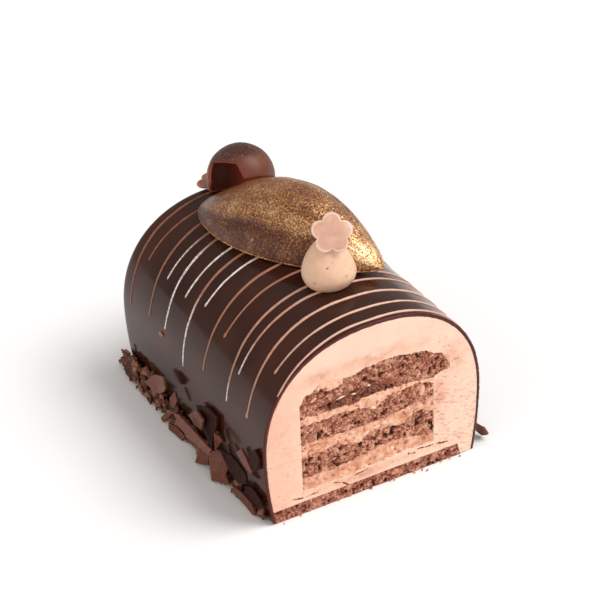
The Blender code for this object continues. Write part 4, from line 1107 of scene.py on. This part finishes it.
# banks: y, height and reach of each control, mm
LEFT_BANK = [(-55, 2.4, 1.6), (-42, 3.0, 1.6), (-31, 3.2, 1.4), (-19, 4.5, 2.0), (-7, 7.0, 3.2), (6, 8.0, 3.4),
             (22, 8.5, 3.2), (34, 11.0, 5.0), (48, 10.5, 5.0), (57, 8.0, 4.2), (64, 2.5, 2.0)]
RIGHT_BANK = [(-50, 3.4, 2.4), (-24, 4.2, 2.8), (-4, 6.0, 3.0), (14, 4.2, 3.0), (36, 4.4, 3.0), (46, 10.0, 5.0),
              (54, 7.0, 3.8), (58, 2.4, 2.0)]


def heap_core(side, controls, seed, keep=0.62):
    """A low lumpy bank: its section rises from the board in a quarter curve to the log's side."""
    ys = np.linspace(controls[0][0] + 1.5, controls[-1][0] - 1.5, 150)
    height = keep * eased([(c[0], c[1]) for c in controls], ys)
    reach = keep * eased([(c[0], c[2]) for c in controls], ys)
    turn = np.linspace(0, math.pi / 2, 12)
    x = side_x(0.0) + 0.3 + reach[:, None] * np.cos(turn)
    z = 0.05 + height[:, None] * np.sin(turn)
    x[:, -1], z[:, -1] = side_x(z[:, -1]) + 0.15, z[:, -1]
    corner = np.stack([0 * ys + side_x(0.0) + 0.25, ys, 0 * ys + 0.05], -1)[:, None]
    rings = np.concatenate([np.stack([x, ys[:, None] + 0 * x, z], -1), corner], axis=1)
    shift = 0.45 * lumps(rings.reshape(-1, 3), 2.2, seed, 2).reshape(rings.shape[:2])
    rings[:, :-1, 0] += np.abs(shift[:, :-1])
    rings[:, 1:-1, 2] += shift[:, 1:-1]
    rings[..., 0] = np.maximum(rings[..., 0], side_x(rings[..., 2]) + 0.12)
    return skin(rings * [side, 1, 1])


FLAKE_ALONG, FLAKE_ACROSS = 7, 4        # points along and across one face of a flake


def turned(a, b, angle):
    """Two coordinates of each strip turned by that strip's own angle."""
    c, s = np.cos(angle)[:, None], np.sin(angle)[:, None]
    return a * c - b * s, a * s + b * c


def flakes(side, controls, count, seed):
    """Thin curled strips: a tapered rectangle rolled about its length, each turned by chance.

    All strips are worked out at once, each as two grids of points 0.35 to 0.8 mm apart. More lie
    where the bank is high, and they lean on it at any level up to its top.
    """
    rng = np.random.default_rng(seed)
    ys = rng.uniform(controls[0][0], controls[-1][0], 4 * count)
    height = eased([(c[0], c[1]) for c in controls], ys)
    ys = ys[rng.uniform(0, 15, len(ys)) < height + 1.5][:count]
    height, reach = (eased([(c[0], c[k]) for c in controls], ys) for k in (1, 2))
    n, face = len(ys), FLAKE_ALONG * FLAKE_ACROSS
    long, wide = rng.uniform(4.0, 11.0, n) * (0.5 + 0.5 * height / 14), rng.uniform(1.4, 3.6, n)
    thick, roll = rng.uniform(0.35, 0.8, n), rng.uniform(-1.4, 1.4, n)
    level = height * rng.uniform(0.05, 0.92, n)
    out = reach * np.sqrt(np.clip(1 - (level / height) ** 2, 0.02, 1)) * rng.uniform(0.55, 0.95, n)
    a, b = np.linspace(-1, 1, FLAKE_ALONG), np.linspace(-1, 1, FLAKE_ACROSS)
    a, b = (g.ravel() for g in np.meshgrid(a, b, indexing="ij"))
    taper = 1 - rng.uniform(0.1, 0.6, n)[:, None] * np.abs(a + rng.uniform(-0.6, 0.6, n)[:, None]) ** 1.5 * 0.6
    along = a * long[:, None] / 2 + rng.uniform(-0.2, 0.2, (n, face)) * wide[:, None] * (np.abs(a) > 0.9)
    bent = roll[:, None] * b * taper
    curl = np.where(np.abs(roll) < 0.1, 0.1, roll)[:, None]
    across = np.sin(bent) / curl * wide[:, None] / 2
    lifted = (1 - np.cos(bent)) / curl * wide[:, None] / 2
    lifted = lifted + rng.uniform(-0.12, 0.12, n)[:, None] * long[:, None] * a * a
    strips = np.concatenate([np.stack([lifted + s * thick[:, None] / 2, along, across], -1) for s in (-1, 1)],
                            axis=1)
    yaw, pitch, spin = rng.normal(0, 0.25, n), rng.normal(0.35, 0.3, n), rng.normal(0, 0.45, n)
    x, y, z = strips[..., 0], strips[..., 1], strips[..., 2]
    y, z = turned(y, z, spin)
    x, z = turned(x, z, pitch)
    x, y = turned(x, y, yaw)
    z = z + np.maximum(level, 0.1 - z.min(1))[:, None]
    shift = np.maximum((side_x(z) + 0.2 - x).max(1), side_x(level) + out)
    x = x + shift[:, None]
    points = np.stack([side * x, y + ys[:, None], z], -1)
    index = np.arange(face).reshape(FLAKE_ALONG, FLAKE_ACROSS)
    border = np.concatenate([index[0, :-1], index[:-1, -1], index[-1, :0:-1], index[:0:-1, 0]])
    after = np.roll(border, -1)
    quads = grid_quads(FLAKE_ALONG, FLAKE_ACROSS, False)
    rim = np.stack([border, after, face + after, face + border], -1)
    one = np.concatenate([quads[:, ::-1], quads + face, rim])
    first = outward(points[0], one, np.zeros((0, 3), int))[1]
    faces = (first[None] + 2 * face * np.arange(n)[:, None, None]).reshape(-1, 4)
    tone = rng.choice([0.0, 0.3, 0.5, 0.75], n, p=[0.12, 0.38, 0.32, 0.18]) + rng.uniform(-0.1, 0.1, n)
    return (points.reshape(-1, 3), faces, np.zeros((0, 3), int)), np.repeat(tone, 2 * face)


def shavings_finish():
    """Scraped chocolate: satin flakes from almost black to reddish milk brown, ridged by the blade."""
    finish, tree, place = new_finish("chocolate shavings")
    tone = add(tree, "Attribute", attribute_name="tone").outputs["Fac"]
    ridge = add(tree, "TexNoise", {"Vector": place, "Scale": 1 / 1.2, "Detail": 4, "Roughness": 0.7})
    mixed = add(tree, "Math", {0: ridge.outputs[0], 1: 0.5, 2: tone}, operation="MULTIPLY_ADD").outputs[0]
    colour = add(tree, "ValToRGB", {"Fac": mixed}, stops=[
        (0.15, "#1A0906"), (0.95, "#96604A"), (0.45, "#43200F"), (0.7, "#6A3827")])
    bump = add(tree, "Bump", {"Height": ridge.outputs[0], "Strength": 0.4, "Distance": 0.3 * MM})
    close_finish(tree, add(tree, "BsdfPrincipled", {
        "Base Color": colour.outputs[0], "Normal": bump.outputs[0], "Roughness": 0.4, "IOR": 1.47}))
    return finish


shavings = shavings_finish()
for side, label, controls, count in ((-1, "left", LEFT_BANK, 260), (1, "right", RIGHT_BANK, 160)):
    shape, tone = flakes(side, controls, count, 180 + side)
    core = heap_core(side, controls, 184 + side)
    add_piece(f"shavings_{label}_flakes", shape, shavings, "shavings", [f"shavings_{label}"], smooth=False,
              tone=tone)
    # the heap's low tone makes it almost black: painted shade in the gaps under the flakes
    add_piece(f"shavings_{label}_heap", core, shavings, "shavings", tone=np.full(len(core[0]), -0.1))


# ---- crumbs ---------------------------------------------------------------------------------
# A few sponge crumbs that fell from the knife and stick at the foot of the cut face.


def crumbs(count, seed):
    """Small lumpy balls of 0.3 to 0.9 mm along the foot of the cut face."""
    rng = np.random.default_rng(seed)
    found = []
    for k in range(count):
        size = rng.uniform(0.2, 0.45)
        polar, angle = np.meshgrid(np.linspace(0, math.pi, 6)[1:-1],
                                   np.linspace(0, 2 * math.pi, 8, endpoint=False), indexing="ij")
        ball = np.stack([np.sin(polar) * np.cos(angle), np.sin(polar) * np.sin(angle), np.cos(polar)], -1)
        ball = ball * (size * (1 + 0.3 * rng.uniform(-1, 1, ball.shape[:2])))[..., None]
        at = [rng.uniform(-42, 38), FRONT - abs(rng.normal(0.5, 0.7)) - size, size + 0.05]
        found.append(skin(ball + at))
    return joined(found)


shape = crumbs(16, 190)
add_piece("sponge_crumbs", shape, sponge_finish, "sponge", smooth=False,
          tone=0.7 + 0.4 * lumps(shape[0], 2.0, 191))


# ---- floor, light and camera ----------------------------------------------------------------
# A plain white table, a white room for soft light from all sides, a large window to the right, a
# soft box in front and a pale wall to the left. The camera stands in front to the left and looks
# down on the log through a long lens.

floor_mesh = bpy.data.meshes.new("floor")
floor_mesh.from_pydata([(-3, -3, -5e-5), (3, -3, -5e-5), (3, 3, -5e-5), (-3, 3, -5e-5)], [], [(0, 1, 2, 3)])
floor = bpy.data.objects.new("floor", floor_mesh)
bpy.context.scene.collection.objects.link(floor)
finish, tree, place = new_finish("white table, matt")
cloth = add(tree, "TexNoise", {"Vector": place, "Scale": 1 / 40.0})
colour = add(tree, "ValToRGB", {"Fac": cloth.outputs[0]}, stops=[(0.0, "#F9F9FB"), (1.0, "#FCFCFE")])
close_finish(tree, add(tree, "BsdfPrincipled", {"Base Color": colour.outputs[0], "Roughness": 0.7}))
floor_mesh.materials.append(finish)
floor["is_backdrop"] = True

world = bpy.data.worlds.new("white room")
world.use_nodes = True
world.node_tree.nodes["Background"].inputs["Color"].default_value = (1.0, 0.965, 0.93, 1)
world.node_tree.nodes["Background"].inputs["Strength"].default_value = 0.5
bpy.context.scene.world = world
bpy.context.scene.view_settings.view_transform = "Standard"


def soft_box(name, at, aim, wide, tall, watts, colour=(1, 1, 1)):
    """A rectangular area light at a place in metres, turned to face another."""
    lamp = bpy.data.lights.new(name, "AREA")
    lamp.shape, lamp.size, lamp.size_y, lamp.energy, lamp.color = "RECTANGLE", wide, tall, watts, colour
    box = bpy.data.objects.new(name, lamp)
    bpy.context.scene.collection.objects.link(box)
    box.location = at
    box.rotation_euler = (Vector(aim) - Vector(at)).to_track_quat("-Z", "Y").to_euler()
    return box


soft_box("front fill", (-0.2, -1.1, 0.35), (0, -0.05, 0.04), 0.7, 0.5, 1.8, (1, 0.98, 0.95))
bounce = soft_box("wall bounce, left", (-0.9, -0.25, 0.65), (0, 0, 0.03), 0.9, 0.9, 1.9, (1, 0.91, 0.83))
bounce.visible_glossy = False           # a matt wall: it lifts the shadows and isn't seen in the glaze
window = bpy.data.lights.new("large window, front right", "SUN")
window.energy, window.angle, window.color = 2.35, math.radians(38), (1.0, 0.985, 0.96)
lit = bpy.data.objects.new("large window, front right", window)
bpy.context.scene.collection.objects.link(lit)
lit.rotation_euler = Vector((0.55, -0.30, 0.78)).to_track_quat("Z", "Y").to_euler()

camera_data = bpy.data.cameras.new("camera")
camera_data.lens, camera_data.sensor_width = 114.26, 36.0
camera_data.clip_start, camera_data.clip_end = 0.01, 20.0
camera = bpy.data.objects.new("camera", camera_data)
bpy.context.scene.collection.objects.link(camera)
camera_right = Vector((0.87211634, -0.48799413, -0.03570478))
camera_up = Vector((0.29188022, 0.46028847, 0.83841545))
camera_ahead = Vector((0.39270732, 0.74161733, -0.54386092))
camera.matrix_world = (Matrix.Translation((-0.282877, -0.541272, 0.442193))
                       @ Matrix((camera_right, camera_up, -camera_ahead)).transposed().to_4x4())
bpy.context.scene.camera = camera

low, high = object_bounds()
